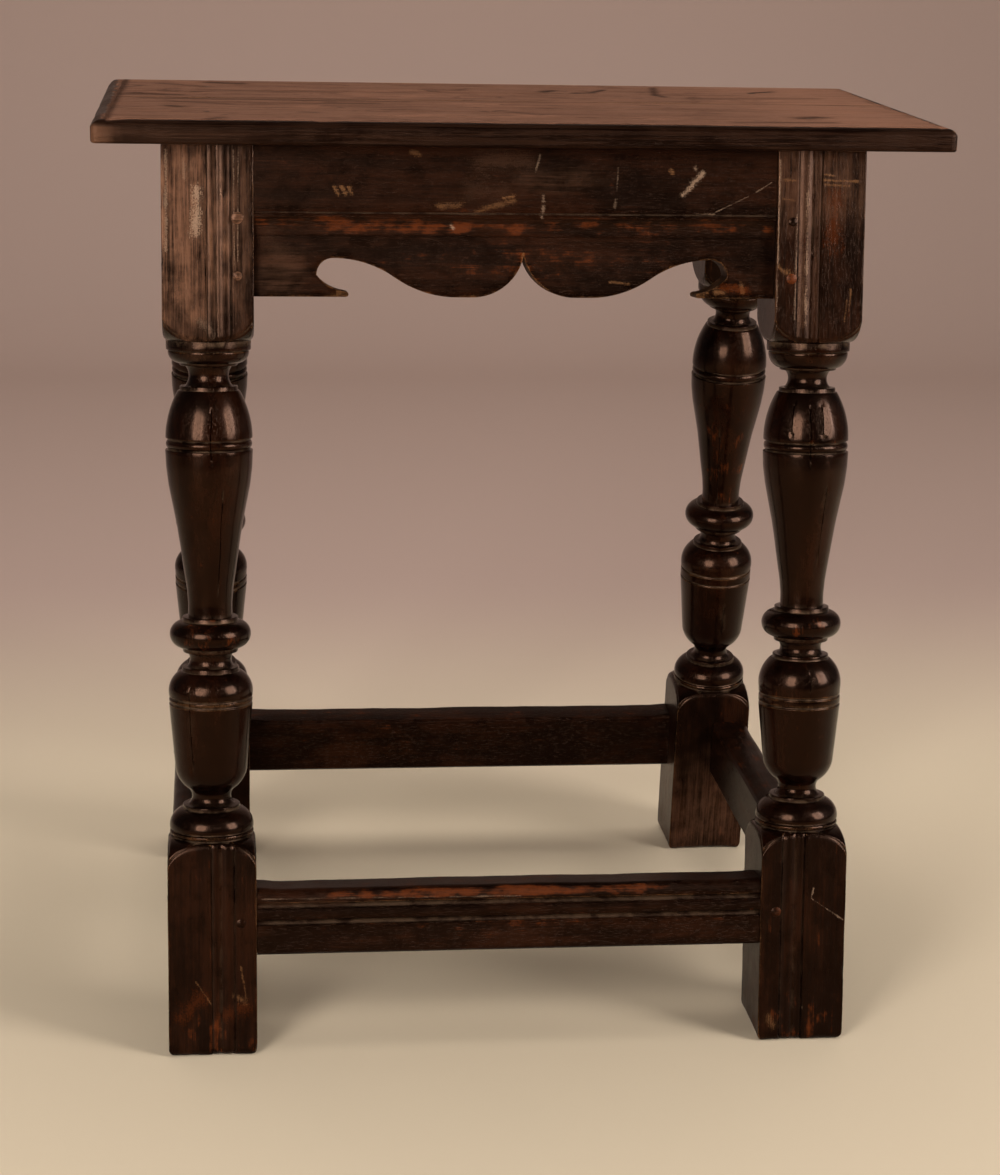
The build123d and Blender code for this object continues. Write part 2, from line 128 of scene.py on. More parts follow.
def colour(name, description, default):
    """A setting that is a colour."""
    return FloatVectorProperty(name=name, description=description, default=default, size=3,
                               min=0.0, max=1.0, subtype="COLOR")


class StoolWear(PropertyGroup):
    """What age and use have done to the shapes"""

    arris: length("Worn arris", "Radius that use has given to the sharp edges", 0.9)
    foot: length("Worn foot", "Radius round the lower edge of each foot", 4.6)
    waviness: length("Hand waviness", "How far planed faces wander from flat", 0.35)
    pitch: length("Facet pitch", "Spacing of the facets along straight pieces", 3.6)
    crack: length("Crack width", "Width of the shrinkage cracks", 0.55)


class StoolFinish(PropertyGroup):
    """Colours and roughness of the oak"""

    heart: colour("Turned heart", "Wax-blackened oak of the turnings", (0.0030, 0.0008, 0.0003))
    figure: colour("Turned figure", "Lighter streaks of the turnings", (0.0105, 0.0026, 0.0009))
    flat_heart: colour("Planed heart", "Wax-blackened oak of the planed faces", (0.0036, 0.0011, 0.0004))
    flat_figure: colour("Planed figure", "Lighter streaks of the planed faces", (0.0165, 0.0047, 0.0018))
    glow: colour("Glow", "Red-brown where hands and rubbing have thinned the finish", (0.105, 0.021, 0.0040))
    bare: colour("Bare", "Oak worn bare on the arrises", (0.26, 0.115, 0.045))
    bloom: colour("Bloom", "Dry grey-brown of faces that have lost their wax", (0.150, 0.068, 0.037))
    # Chalk also paints one highlight, on the head of the front left leg.
    chalk: colour("Chalk", "Pale bruises and scratches through the finish", (0.40, 0.25, 0.16))
    dust: colour("Dust", "Dust and old wax in the grooves", (0.10, 0.060, 0.034))
    rim: colour("Rim", "Lighter streaks of the moulded edge of the top", (0.013, 0.0046, 0.0021))
    gloss: colour("Gloss", "Tint of the old wax in its highlights", (1.0, 0.52, 0.33))
    top: colour("Top", "Sun-faded oak of the boards", (0.165, 0.074, 0.044))
    top_dark: colour("Top grain", "Open grain and stains of the boards", (0.034, 0.013, 0.007))
    turned_roughness: share("Turned roughness", "Roughness of the polished turnings", 0.17)
    flat_roughness: share("Flat roughness", "Roughness of the planed faces", 0.31)
    sawn_roughness: share("Sawn roughness", "Roughness of the sawn edges", 0.80)
    top_roughness: share("Top roughness", "Roughness of the boards", 0.62)
    # This also weakens the painted highlight and painted sheen among the marks.
    marks: share("Marks", "How strongly bruises and scratches show", 0.6)


class StoolStudio(PropertyGroup):
    """The plain studio round the stool"""

    floor: colour("Floor colour", "Plain pale floor", (0.63, 0.50, 0.35))
    backdrop: colour("Backdrop colour", "Plain pale wall behind", (0.46, 0.32, 0.26))
    left_power: FloatProperty(name="Left lamp", description="Power of the soft lamp near the camera",
                              default=34.0, min=0.0, unit="POWER")
    right_power: FloatProperty(name="Right lamp", description="Power of the soft lamp at the right",
                               default=34.0, min=0.0, unit="POWER")
    gloss_power: FloatProperty(name="Gloss lamps",
                               description="Power of the two lamps that show in the gloss alone",
                               default=84.0, min=0.0, unit="POWER")
    ceiling_power: FloatProperty(name="Ceiling lamp", description="Power of the broad lamp overhead",
                                 default=48.0, min=0.0, unit="POWER")
    fill: share("Fill", "Brightness of the room round the stool", 0.07)


# ---------------------------------------------------------------- mesh helpers

Row = namedtuple("Row", "zone height radius step", defaults=(0.0, 0.0, None))
Member = namedtuple("Member", "name height start end swell")


def arc_points(start, end, swell, pitch):
    """Points after start up to end, along an arc standing swell to the right of its chord."""
    a, b = Vector(start), Vector(end)
    chord = (b - a).length
    count = max(1, math.ceil(chord / pitch))
    if abs(swell) < 1e-6:
        return [a.lerp(b, i / count) for i in range(1, count + 1)]
    across = Vector((b.y - a.y, a.x - b.x)).normalized() * math.copysign(1, swell)
    radius = (chord * chord / 4 + swell * swell) / (2 * abs(swell))
    centre = (a + b) / 2 + across * (abs(swell) - radius)
    half_angle = math.atan2(chord / 2, radius - abs(swell))
    count = max(count, 6)
    along = (b - a).normalized()
    points = []
    for i in range(1, count + 1):
        turn = half_angle * (2 * i / count - 1)
        points.append(centre + across * radius * math.cos(turn) + along * radius * math.sin(turn))
    return points


def softened(points, radius):
    """The same run of points with each sharp corner cut back a little on both sides."""
    result = [points[0]]
    for before, here, after in zip(points, points[1:], points[2:]):
        into, out = here - before, after - here
        if into.length > 1e-6 and out.length > 1e-6 and into.angle(out) > math.radians(24):
            result.append(here - into.normalized() * min(radius, into.length * 0.4))
            result.append(here + out.normalized() * min(radius, out.length * 0.4))
        else:
            result.append(here)
    return result + [points[-1]]


def interpolate(pairs, at):
    """Value at a place in a list of (place, value) sorted by place."""
    if at <= pairs[0][0]:
        return pairs[0][1]
    for (x0, y0), (x1, y1) in zip(pairs, pairs[1:]):
        if at <= x1:
            return y0 + (y1 - y0) * (at - x0) / max(x1 - x0, 1e-9)
    return pairs[-1][1]


def smooth_step(low, high, value):
    """From 0 at low to 1 at high, smoothly."""
    t = min(1.0, max(0.0, (value - low) / (high - low)))
    return t * t * (3 - 2 * t)


def waver(point, size, seed):
    """Smooth noise from -1 to 1 whose bumps are about size millimetres long."""
    return noise.noise(Vector(point) / size + Vector((seed * 7.31, seed * 3.17, seed * 5.53)))


def cut(bm, at, normal, clear=False):
    """Cuts the whole mesh by a plane, and where it clears the far side closes the hole."""
    geom = bm.verts[:] + bm.edges[:] + bm.faces[:]
    made = bmesh.ops.bisect_plane(bm, geom=geom, dist=1e-4, plane_co=at, plane_no=normal, clear_outer=clear)
    if clear:
        rim = [e for e in made["geom_cut"] if isinstance(e, bmesh.types.BMEdge)]
        bmesh.ops.holes_fill(bm, edges=rim, sides=0)


def slice_up(bm, axis, places):
    """Adds a ring of edges across an axis at each place."""
    normal = Vector([float(i == axis) for i in range(3)])
    for place in places:
        cut(bm, normal * place, normal)


def spread(low, high, pitch):
    """Places strictly between low and high, about pitch apart."""
    count = max(1, round((high - low) / pitch))
    return [low + (high - low) * i / count for i in range(1, count)]


def plate(outline, depth_from, depth_to):
    """A flat outline of (x, z) points made solid between two depths along Y."""
    bm = bmesh.new()
    face = bm.faces.new([bm.verts.new((x, depth_from, z)) for x, z in outline])
    made = bmesh.ops.extrude_face_region(bm, geom=[face])
    moved = [v for v in made["geom"] if isinstance(v, bmesh.types.BMVert)]
    bmesh.ops.translate(bm, vec=(0, depth_to - depth_from, 0), verts=moved)
    if all(f is not face for f in bm.faces):
        bm.faces.new([v for v in bm.verts if v not in moved])
    bmesh.ops.recalc_face_normals(bm, faces=bm.faces)
    return bm


def bevel(bm, edges, size, segments=2):
    """Rounds edges back by size."""
    bmesh.ops.bevel(bm, geom=edges, offset=size, offset_type="OFFSET", segments=segments,
                    profile=0.5, affect="EDGES", material=-1, clamp_overlap=True)


def bending(bm):
    """How sharply the surface bends at each vertex: above 0 on an arris, below 0 in a groove."""
    result = {}
    for v in bm.verts:
        turn = 0.0
        area = 0.0
        for e in v.link_edges:
            if len(e.link_faces) == 2:
                turn += e.calc_face_angle_signed(0.0) * e.calc_length()
        for f in v.link_faces:
            area += f.calc_area() / len(f.verts)
        result[v] = turn / max(4 * area, 0.15)
    for _ in range(2):
        result = {v: (value + sum(result[e.other_vert(v)] for e in v.link_edges))
                  / (1 + len(v.link_edges)) for v, value in result.items()}
    return result


Patch = namedtuple("Patch", "x y z rx ry rz amount")
Mark = namedtuple("Mark", "kind x0 z0 x1 z1 width strength")
TIMBER_STEP = Vector((61.0, 37.0, 411.0))  # sets each piece's grain apart from the others'


def timber_place(point, grain, seed):
    """A place on a piece in the coordinates of its timber, whose third axis runs along the grain."""
    along = {"X": Vector((point[1], point[2], point[0])), "Z": Vector(point)}[grain]
    return along + TIMBER_STEP * seed


def patch_amount(patches, point, seed):
    """Sum of soft patches at a point, broken up a little at their edges."""
    total = 0.0
    for p in patches:
        away = math.sqrt(((point.x - p.x) / p.rx) ** 2 + ((point.y - p.y) / p.ry) ** 2
                         + ((point.z - p.z) / p.rz) ** 2)
        total += p.amount * (1 - smooth_step(0.45, 1.1, away + 0.3 * waver(point, 9.0, seed)))
    return total


ARRIS_BEND = (0.05, 0.42)
HOLLOW_BEND = (0.03, 0.35)
SHARP_ANGLE = 50  # degrees


def finish_piece(bm, name, placement, materials, seed, grain="Z", bloom=(), glow=()):
    """Stores what the finish needs on the mesh, puts it in place and hangs it on the frame."""
    bmesh.ops.remove_doubles(bm, verts=bm.verts, dist=0.01)
    bmesh.ops.recalc_face_normals(bm, faces=bm.faces)
    timber = bm.verts.layers.float_vector.new("timber")
    arris = bm.verts.layers.float.new("arris")
    hollow = bm.verts.layers.float.new("hollow")
    dry = bm.verts.layers.float.new("dry")
    rubbed = bm.verts.layers.float.new("rubbed")
    for v, bend in bending(bm).items():
        v[timber] = timber_place(v.co, grain, seed)
        v[arris] = smooth_step(*ARRIS_BEND, bend)
        v[hollow] = smooth_step(*HOLLOW_BEND, -bend)
        v[dry] = patch_amount(bloom, v.co, seed + 0.5)
        v[rubbed] = patch_amount(glow, v.co, seed + 0.8)
    bmesh.ops.transform(bm, matrix=Matrix.Scale(MM, 4) @ placement, verts=bm.verts)
    bmesh.ops.recalc_face_normals(bm, faces=bm.faces)
    mesh = bpy.data.meshes.new(f"{name}_oak")
    bm.to_mesh(mesh)
    bm.free()
    for material in materials:
        mesh.materials.append(finishes()[material])
    mesh.polygons.foreach_set("use_smooth", [True] * len(mesh.polygons))
    mesh.set_sharp_from_angle(angle=math.radians(SHARP_ANGLE))
    piece = bpy.data.objects.new(f"{name}_oak", mesh)
    bpy.context.scene.collection.objects.link(piece)
    weighted = piece.modifiers.new("weighted normals", "WEIGHTED_NORMAL")
    weighted.keep_sharp = True
    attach(piece, "root")
    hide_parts(name)


# ---------------------------------------------------------------- shader helpers


class Socket:
    """A shader output. Sums and products of sockets and numbers add the Math nodes they need."""

    def __init__(self, shader, output):
        self.shader = shader
        self.output = output

    def maths(self, operation, first, second):
        """Adds a Math node."""
        return self.shader.node("ShaderNodeMath", {"operation": operation}, {0: first, 1: second})

    def __add__(self, other):
        return self.maths("ADD", self, other)

    def __radd__(self, other):
        return self.maths("ADD", other, self)

    def __sub__(self, other):
        return self.maths("SUBTRACT", self, other)

    def __rsub__(self, other):
        return self.maths("SUBTRACT", other, self)

    def __mul__(self, other):
        return self.maths("MULTIPLY", self, other)

    def __rmul__(self, other):
        return self.maths("MULTIPLY", other, self)

    def __truediv__(self, other):
        return self.maths("DIVIDE", self, other)

    def maximum(self, other):
        return self.maths("MAXIMUM", self, other)

    def minimum(self, other):
        return self.maths("MINIMUM", self, other)


class Shader:
    """One material's node tree."""

    def __init__(self, name):
        self.material = bpy.data.materials.new(name)
        self.material.use_nodes = True
        self.tree = self.material.node_tree
        self.tree.nodes.clear()

    def node(self, kind, settings=None, sockets=None, output=0):
        """Adds a node, gives it its settings and its sockets, and returns one of its outputs."""
        made = self.tree.nodes.new(kind)
        for key, value in (settings or {}).items():
            setattr(made, key, value)
        for key, value in (sockets or {}).items():
            if isinstance(value, Socket):
                self.tree.links.new(value.output, made.inputs[key])
            elif made.inputs[key].type == "RGBA":
                made.inputs[key].default_value = (*list(value)[:3], 1.0)
            else:
                made.inputs[key].default_value = value
        return Socket(self, made.outputs[output]) if len(made.outputs) else None

    def attribute(self, name, output="Fac"):
        """What finish_piece has stored on the vertices."""
        return self.node("ShaderNodeAttribute", {"attribute_name": name}, output=output)

    def scaled(self, vector, factors):
        """A vector times a vector, axis by axis, or times a number."""
        return self.node("ShaderNodeVectorMath", {"operation": "MULTIPLY"}, {0: vector, 1: factors})

    def noise(self, vector, scale, detail, roughness, distortion=0.0):
        """Cloudy noise from 0 to 1."""
        return self.node("ShaderNodeTexNoise", {}, {
            "Vector": vector, "Scale": scale, "Detail": detail, "Roughness": roughness,
            "Distortion": distortion})

    def step(self, value, low, high):
        """From 0 at low to 1 at high, smoothly."""
        return self.node("ShaderNodeMapRange", {"interpolation_type": "SMOOTHSTEP"},
                         {"Value": value, "From Min": low, "From Max": high})

    def stroke(self, place, start, end, width, ragged):
        """From 1 on the line between two places to 0 beyond its width, with a ragged edge."""
        axis = end - start
        along = self.node("ShaderNodeVectorMath", {"operation": "SUBTRACT"}, {0: place, 1: start})
        share_of = self.node("ShaderNodeVectorMath", {"operation": "DOT_PRODUCT"},
                             {0: along, 1: axis / max(axis.length_squared, 1e-6)}, output=1)
        nearest = self.scaled(share_of.maximum(0.0).minimum(1.0), axis)
        away = self.node("ShaderNodeVectorMath", {"operation": "DISTANCE"}, {0: along, 1: nearest}, output=1)
        return self.step(away / (width / 2) + ragged, 1.6, -0.1)

    def marked(self, colour, place, marks, place_of, tones, ragged):
        """Lays bruises, scratches, stains and a few painted highlights and sheens over a colour."""
        strong = bpy.context.scene.stool_finish.marks
        for mark in marks:
            start, end = place_of(mark.x0, mark.z0), place_of(mark.x1, mark.z1)
            worn = self.stroke(place, start, end, mark.width, ragged)
            colour = self.mix(worn * (mark.strength * strong), colour, tones[mark.kind])
        return colour

    def mix(self, factor, first, second):
        """The first colour where the factor is 0, the second where it is 1."""
        return self.node("ShaderNodeMix", {"data_type": "RGBA"}, {0: factor, 6: first, 7: second}, output=2)

    def surface(self, **sockets):
        """Ends the tree with a Principled BSDF and returns the material."""
        names = {"colour": "Base Color", "roughness": "Roughness", "normal": "Normal",
                 "specular": "Specular IOR Level", "tint": "Specular Tint"}
        bsdf = self.node("ShaderNodeBsdfPrincipled", {}, {names[k]: v for k, v in sockets.items()})
        self.node("ShaderNodeOutputMaterial", {}, {"Surface": bsdf})
        return self.material


TURNED_SPECULAR = 0.17
PLANED_SPECULAR = 0.11
BOARD_SPECULAR = 0.08
TURNED_RELIEF = 0.05 * MM
PLANED_RELIEF = 0.12 * MM
BOARD_RELIEF = 0.20 * MM
MIRROR_LIMIT = 0.12  # the old wax is nowhere smoother than this


def oak(name, heart, figure, finish, roughness, turned, marks=(), place_of=None):
    """Old waxed oak. The grain runs along the third axis of the timber's own coordinates."""
    s = Shader(name)
    timber = s.attribute("timber", "Vector")
    arris, hollow = s.attribute("arris"), s.attribute("hollow")
    dry, rubbed = s.attribute("dry"), s.attribute("rubbed")

    # Noise over the timber, from broad clouds to single pores, mostly drawn out along the grain.
    broad = s.noise(s.scaled(timber, (0.030, 0.030, 0.011)), 1.0, 3.0, 0.6, 0.4)
    bands = s.noise(s.scaled(timber, (0.17, 0.17, 0.0085)), 1.0, 4.0, 0.6, 0.9)
    streaks = s.noise(s.scaled(timber, (0.85, 0.85, 0.020)), 1.0, 3.0, 0.65, 0.2)
    fine = s.noise(s.scaled(timber, (2.6, 2.6, 0.075)), 1.0, 2.0, 0.6)
    pores = s.step(s.noise(s.scaled(timber, (3.4, 3.4, 0.20)), 1.0, 1.0, 0.5), 0.60, 0.72)
    mottle = s.noise(s.scaled(timber, (0.13, 0.13, 0.09)), 1.0, 4.0, 0.65)
    grit = s.noise(timber, 1.4, 3.0, 0.7)

    # The bare timber, then what wax, wear, dust and damage have laid over it, with painted shade in the
    # hollows.
    grain = bands * 0.45 + streaks * 0.35 + fine * 0.20
    figured = s.step(grain + (broad - 0.5) * 0.7, 0.38, 0.68)
    colour = s.mix(figured, heart, figure)
    sooty = s.step(broad + (mottle - 0.5) * 0.9, 0.56, 0.40)
    colour = s.mix(sooty * 0.6, colour, [c * 0.5 for c in heart])
    warm = s.step(mottle + (streaks - 0.5) * 0.6 + rubbed * 0.45 + arris * 0.08, 0.68, 0.95)
    colour = s.mix(warm * 0.7, colour, finish.glow)
    bloom = dry * s.step(bands * 1.3 + streaks * 1.4 + fine * 0.6 + mottle * 1.2, 1.75, 2.75)
    colour = s.mix(bloom, colour, finish.bloom)
    wear = arris * (grit * 1.1 + mottle * 0.9) + rubbed * arris * 0.25
    bare = s.step(wear, 0.85, 1.25)
    colour = s.mix(bare * (0.30 if turned else 0.40), colour, finish.bare)
    # Painted shade: darkens the hollows and creases towards a deep heart colour.
    colour = s.mix(hollow * 0.65, colour, [c * 0.35 for c in heart])
    dusty = hollow * s.step(mottle + (grit - 0.5) * 0.5, 0.38, 0.62)
    colour = s.mix(dusty * (0.6 if turned else 0.35), colour, finish.dust)
    colour = s.mix(pores * 0.55, colour, [c * 0.4 for c in heart])
    tones = {"chalk": finish.chalk, "bare": finish.bare, "glow": finish.glow,
             "bloom": [c * 0.5 for c in finish.bloom], "dark": [c * 0.3 for c in heart]}
    ragged = (grit - 0.5) * 6.0 + (mottle - 0.5) * 5.0 + (fine - 0.5) * 4.0
    colour = s.marked(colour, timber, marks, place_of, tones, ragged)

    rough = roughness + (mottle - 0.5) * 0.20 + bloom * 0.05 + hollow * 0.15 + (fine - 0.5) * 0.10
    rough = rough - arris * (0.05 if turned else 0.15)
    rough = rough + rubbed * (0.0 if turned else 0.15)
    depth = TURNED_RELIEF if turned else PLANED_RELIEF
    relief = grain * 0.9 - pores * 0.7 + (mottle - 0.5) * 0.5 + grit * 0.12
    normal = s.node("ShaderNodeBump", {}, {"Strength": 0.75, "Distance": depth, "Height": relief})
    s.surface(colour=colour, roughness=rough.maximum(MIRROR_LIMIT), normal=normal,
              specular=TURNED_SPECULAR if turned else PLANED_SPECULAR, tint=finish.gloss)


def faded_oak(name, finish, marks, place_of):
    """Dry, sun-faded boards with open grain, long cracks of the grain and old stains."""
    s = Shader(name)
    timber = s.attribute("timber", "Vector")
    arris, hollow = s.attribute("arris"), s.attribute("hollow")
    dry, rubbed = s.attribute("dry"), s.attribute("rubbed")
    bands = s.noise(s.scaled(timber, (0.12, 0.12, 0.0040)), 1.0, 4.0, 0.62, 1.1)
    streaks = s.noise(s.scaled(timber, (0.55, 0.55, 0.010)), 1.0, 4.0, 0.66, 0.3)
    fine = s.noise(s.scaled(timber, (2.2, 2.2, 0.05)), 1.0, 3.0, 0.6)
    mottle = s.noise(s.scaled(timber, (0.030, 0.030, 0.014)), 1.0, 5.0, 0.62, 0.5)
    stains = s.noise(s.scaled(timber, (0.050, 0.050, 0.028)), 1.0, 5.0, 0.7, 1.2)
    grit = s.noise(timber, 1.3, 3.0, 0.7)
    grain = bands * 0.45 + streaks * 0.35 + fine * 0.20
    lines = s.step(grain + (mottle - 0.5) * 0.35, 0.49, 0.60)
    colour = s.mix(lines * 0.75, finish.top, finish.top_dark)
    pale = s.step(mottle + (fine - 0.5) * 0.4, 0.48, 0.66)
    colour = s.mix(pale * 0.55, colour, [c * 1.7 for c in finish.top])
    checks = s.step(streaks * 0.6 + bands * 0.4 + (stains - 0.5) * 0.25, 0.44, 0.39)
    colour = s.mix(checks * 0.85, colour, [c * 0.4 for c in finish.top_dark])
    colour = s.mix(s.step(stains, 0.57, 0.66) * 0.65, colour, finish.top_dark)
    colour = s.mix(s.step(grit, 0.58, 0.70) * 0.4, colour, finish.top_dark)
    ragged = (grit - 0.5) * 2.5 + (fine - 0.5) * 2.0 + (streaks - 0.5) * 3.0
    # The pale tone paints the sheen on the right end of the boards.
    tones = {"dark": [c * 0.35 for c in finish.top_dark], "stain": finish.top_dark,
             "pale": [c * 1.5 for c in finish.top]}
    colour = s.marked(colour, timber, marks, place_of, tones, ragged)
    edge = s.step(rubbed + (mottle - 0.5) * 0.3, 0.25, 0.75)
    rim = s.mix(s.step(streaks + (mottle - 0.5) * 0.8, 0.40, 0.66), finish.heart, finish.rim)
    colour = s.mix(edge, colour, rim)
    bare = s.step(arris * (grit * 0.9 + mottle * 0.7), 0.50, 0.90)
    colour = s.mix(bare * 0.6, colour, finish.bare)
    # Painted shade: darkens the hollows and splits of the boards.
    colour = s.mix(hollow * 0.75, colour, [c * 0.4 for c in finish.heart])
    colour = s.mix(dry, colour, finish.bloom)
    rough = finish.top_roughness + (mottle - 0.5) * 0.2 + lines * 0.08 - edge * 0.30
    relief = fine * 0.5 + grit * 0.25 - lines * 0.8 - checks * 0.8
    normal = s.node("ShaderNodeBump", {}, {"Strength": 0.85, "Distance": BOARD_RELIEF, "Height": relief})
    s.surface(colour=colour, roughness=rough, normal=normal, specular=BOARD_SPECULAR, tint=finish.gloss)


def made_finishes():
    """The finishes that are made already, by name."""
    return {m.name: m for m in bpy.data.materials if m.name.endswith("oak")}


def finishes():
    """The finishes that the pieces share, made at the first call."""
    if not made_finishes():
        make_finishes(bpy.context.scene.stool_finish)
    return made_finishes()


def make_finishes(finish):
    """Makes each finish, with the marks of the faces that it covers."""
    flat = (finish.flat_heart, finish.flat_figure, finish)
    planed = (*flat, finish.flat_roughness, False)
    oak("turned_oak", finish.heart, finish.figure, finish, finish.turned_roughness, True)
    oak("planed_oak", *planed)
    # Each place ends with the seed of the piece that it lies on.
    oak("left_leg_oak", *planed, LEFT_LEG_MARKS,
        lambda x, z: timber_place((x + LEG_SPACING / 2, -HALF_LEG, z), "Z", 1))
    oak("right_leg_oak", *planed, RIGHT_LEG_MARKS,
        lambda x, z: timber_place((LEG_SPACING / 2 - x, -HALF_LEG, z), "Z", 2))
    oak("frieze_oak", *planed, FRIEZE_MARKS,
        lambda x, z: timber_place((x, frieze_depth(z) - HALF_LEG, z), "X", 5))
    oak("tread_oak", *planed, TREAD_MARKS,
        lambda x, z: timber_place((x, MEMBER_RECESS - HALF_LEG, z), "X", 9))
    oak("peg_oak", *planed)
    oak("sawn_oak", *flat, finish.sawn_roughness, False)
    faded_oak("front_board_oak", finish, FRONT_BOARD_MARKS,
              lambda x, y: timber_place((x, y, STOOL_HEIGHT), "X", 13))
    faded_oak("back_board_oak", finish, BACK_BOARD_MARKS,
              lambda x, y: timber_place((x, y, STOOL_HEIGHT), "X", 14))


def frieze_depth(z):
    """How deep the marks of the front rail lie: on its frieze, or lower down on its sunk field."""
    return MEMBER_RECESS if z > FIELD_TOP else FIELD_DEPTH


# Bruises, scratches and thin places of the front faces, and one painted highlight, in the plane of
# the front: both ends of each along and up that plane from the middle of the floor line, its width,
# and its strength, which the Marks setting then weakens.
LEFT_LEG_MARKS = (
    # Painted highlight: the glossy streak down the middle of the head, laid on in the chalk tone.
    Mark("chalk", -178.5, 494.0, -179.0, 470.0, 4.0, 1.0),
    Mark("chalk", -185.5, 510.5, -185.0, 499.5, 2.2, 0.3),
    Mark("chalk", -166.0, 513.5, -166.0, 479.0, 1.0, 0.6),
    Mark("chalk", -166.0, 479.0, -166.0, 416.0, 0.8, 0.35),
    Mark("chalk", -158.0, 515.0, -158.0, 452.0, 0.5, 0.5),
    Mark("chalk", -155.5, 515.0, -156.0, 454.0, 0.5, 0.5),
    Mark("chalk", -195.0, 514.5, -195.5, 460.0, 1.3, 0.6),
    Mark("bare", -171.0, 468.0, -171.0, 462.0, 2.0, 0.4),
    Mark("dark", -190.5, 441.0, -189.0, 426.0, 5.0, 0.45),
    Mark("dark", -173.0, 474.0, -173.5, 453.5, 2.5, 0.4),
    Mark("chalk", -177.0, 421.5, -169.0, 413.0, 4.0, 0.25),
    Mark("bare", -182.0, 42.0, -172.0, 26.5, 0.8, 0.5),
    Mark("bare", -156.5, 51.0, -153.0, 28.5, 1.0, 0.5),
    Mark("glow", -190.0, 22.0, -178.0, 34.0, 7.0, 0.5),
    Mark("glow", -168.0, 20.0, -154.0, 28.0, 6.0, 0.45),
    Mark("bare", -160.0, 33.0, -155.0, 30.0, 3.0, 0.5),
)
RIGHT_LEG_MARKS = (
    Mark("bloom", 161.5, 518.0, 163.0, 420.0, 3.6, 0.9),
    Mark("chalk", 164.5, 512.5, 165.0, 420.0, 1.2, 0.55),
    Mark("bloom", 169.5, 512.5, 170.5, 420.0, 2.4, 0.75),
    Mark("chalk", 158.5, 482.0, 158.5, 423.0, 0.7, 0.4),
    Mark("bare", 172.0, 505.0, 179.5, 504.0, 0.9, 0.6),
    Mark("bare", 172.5, 501.5, 192.5, 501.0, 1.0, 0.7),
    Mark("bare", 174.0, 499.0, 188.0, 498.5, 1.0, 0.5),
    Mark("bare", 150.5, 501.5, 159.5, 501.0, 1.2, 0.45),
    Mark("bare", 150.0, 491.0, 157.0, 490.0, 0.9, 0.4),
    Mark("glow", 180.5, 493.5, 179.0, 461.5, 6.5, 0.6),
    Mark("bare", 190.5, 440.0, 190.0, 427.5, 0.9, 0.6),
    Mark("bare", 188.5, 434.0, 187.5, 422.0, 0.8, 0.5),
    Mark("dark", 193.0, 498.0, 193.0, 497.5, 2.3, 0.95),
    Mark("chalk", 148.0, 512.5, 148.0, 427.5, 1.0, 0.6),
    Mark("bare", 149.0, 452.0, 156.5, 447.5, 3.0, 0.7),
    Mark("chalk", 178.5, 90.0, 177.0, 84.0, 0.6, 0.6),
    Mark("chalk", 177.0, 84.0, 196.5, 70.5, 0.6, 0.55),
    Mark("chalk", 172.5, 18.0, 173.0, 17.5, 1.0, 0.7),
    Mark("bare", 154.0, 13.0, 155.0, 8.0, 4.0, 0.5),
)
FRIEZE_MARKS = (
    Mark("bloom", -19.5, 510.0, 3.0, 510.0, 10.5, 0.55),
    Mark("bloom", -26.0, 494.5, -8.5, 493.5, 9.0, 0.35),
    Mark("bare", -43.5, 485.0, -32.5, 486.0, 2.8, 0.5),
    Mark("bare", -24.0, 482.0, -2.0, 489.0, 2.4, 0.5),
    Mark("bare", -8.5, 490.0, -2.5, 491.0, 1.6, 0.7),
    Mark("bare", -102.5, 495.0, -100.5, 491.5, 1.6, 0.7),
    Mark("bare", -98.5, 495.5, -96.5, 491.5, 1.8, 0.7),
    Mark("bare", -94.5, 495.0, -93.0, 491.5, 1.5, 0.6),
    Mark("chalk", -39.0, 476.0, -35.0, 472.0, 1.3, 0.8),
    Mark("chalk", 12.0, 514.0, 9.5, 504.5, 1.0, 0.5),
    Mark("chalk", 14.0, 491.0, 14.0, 488.5, 1.4, 0.5),
    Mark("chalk", 14.0, 485.5, 13.5, 479.0, 1.4, 0.5),
    Mark("chalk", 6.5, 476.5, 16.5, 476.5, 1.2, 0.5),
    Mark("chalk", 56.0, 507.0, 55.5, 495.0, 0.8, 0.4),
    Mark("chalk", 55.0, 489.5, 54.5, 485.5, 1.3, 0.4),
    Mark("chalk", 93.0, 492.5, 98.0, 496.5, 1.9, 0.9),
    Mark("chalk", 97.0, 497.0, 104.0, 504.5, 2.3, 0.9),
    Mark("chalk", 99.5, 508.5, 100.0, 507.5, 1.7, 0.8),
    Mark("bare", 86.0, 506.0, 87.0, 504.5, 1.8, 0.7),
    Mark("chalk", 101.0, 482.0, 111.5, 482.0, 0.7, 0.6),
    Mark("chalk", 110.5, 482.5, 130.5, 492.0, 0.5, 0.55),
    Mark("chalk", 135.0, 494.5, 143.5, 500.0, 0.6, 0.5),
    Mark("bare", -59.5, 514.5, -55.0, 513.5, 2.0, 0.5),
    Mark("bare", 114.0, 438.0, 118.5, 437.5, 2.4, 0.7),
    Mark("bare", 128.5, 442.5, 129.5, 438.0, 1.8, 0.6),
    Mark("glow", 118.0, 440.0, 132.0, 439.0, 3.4, 0.8),
    Mark("bloom", -139.0, 467.0, -129.5, 453.5, 9.0, 0.35),
    Mark("bare", 53.0, 443.5, 63.5, 442.5, 1.1, 0.5),
)
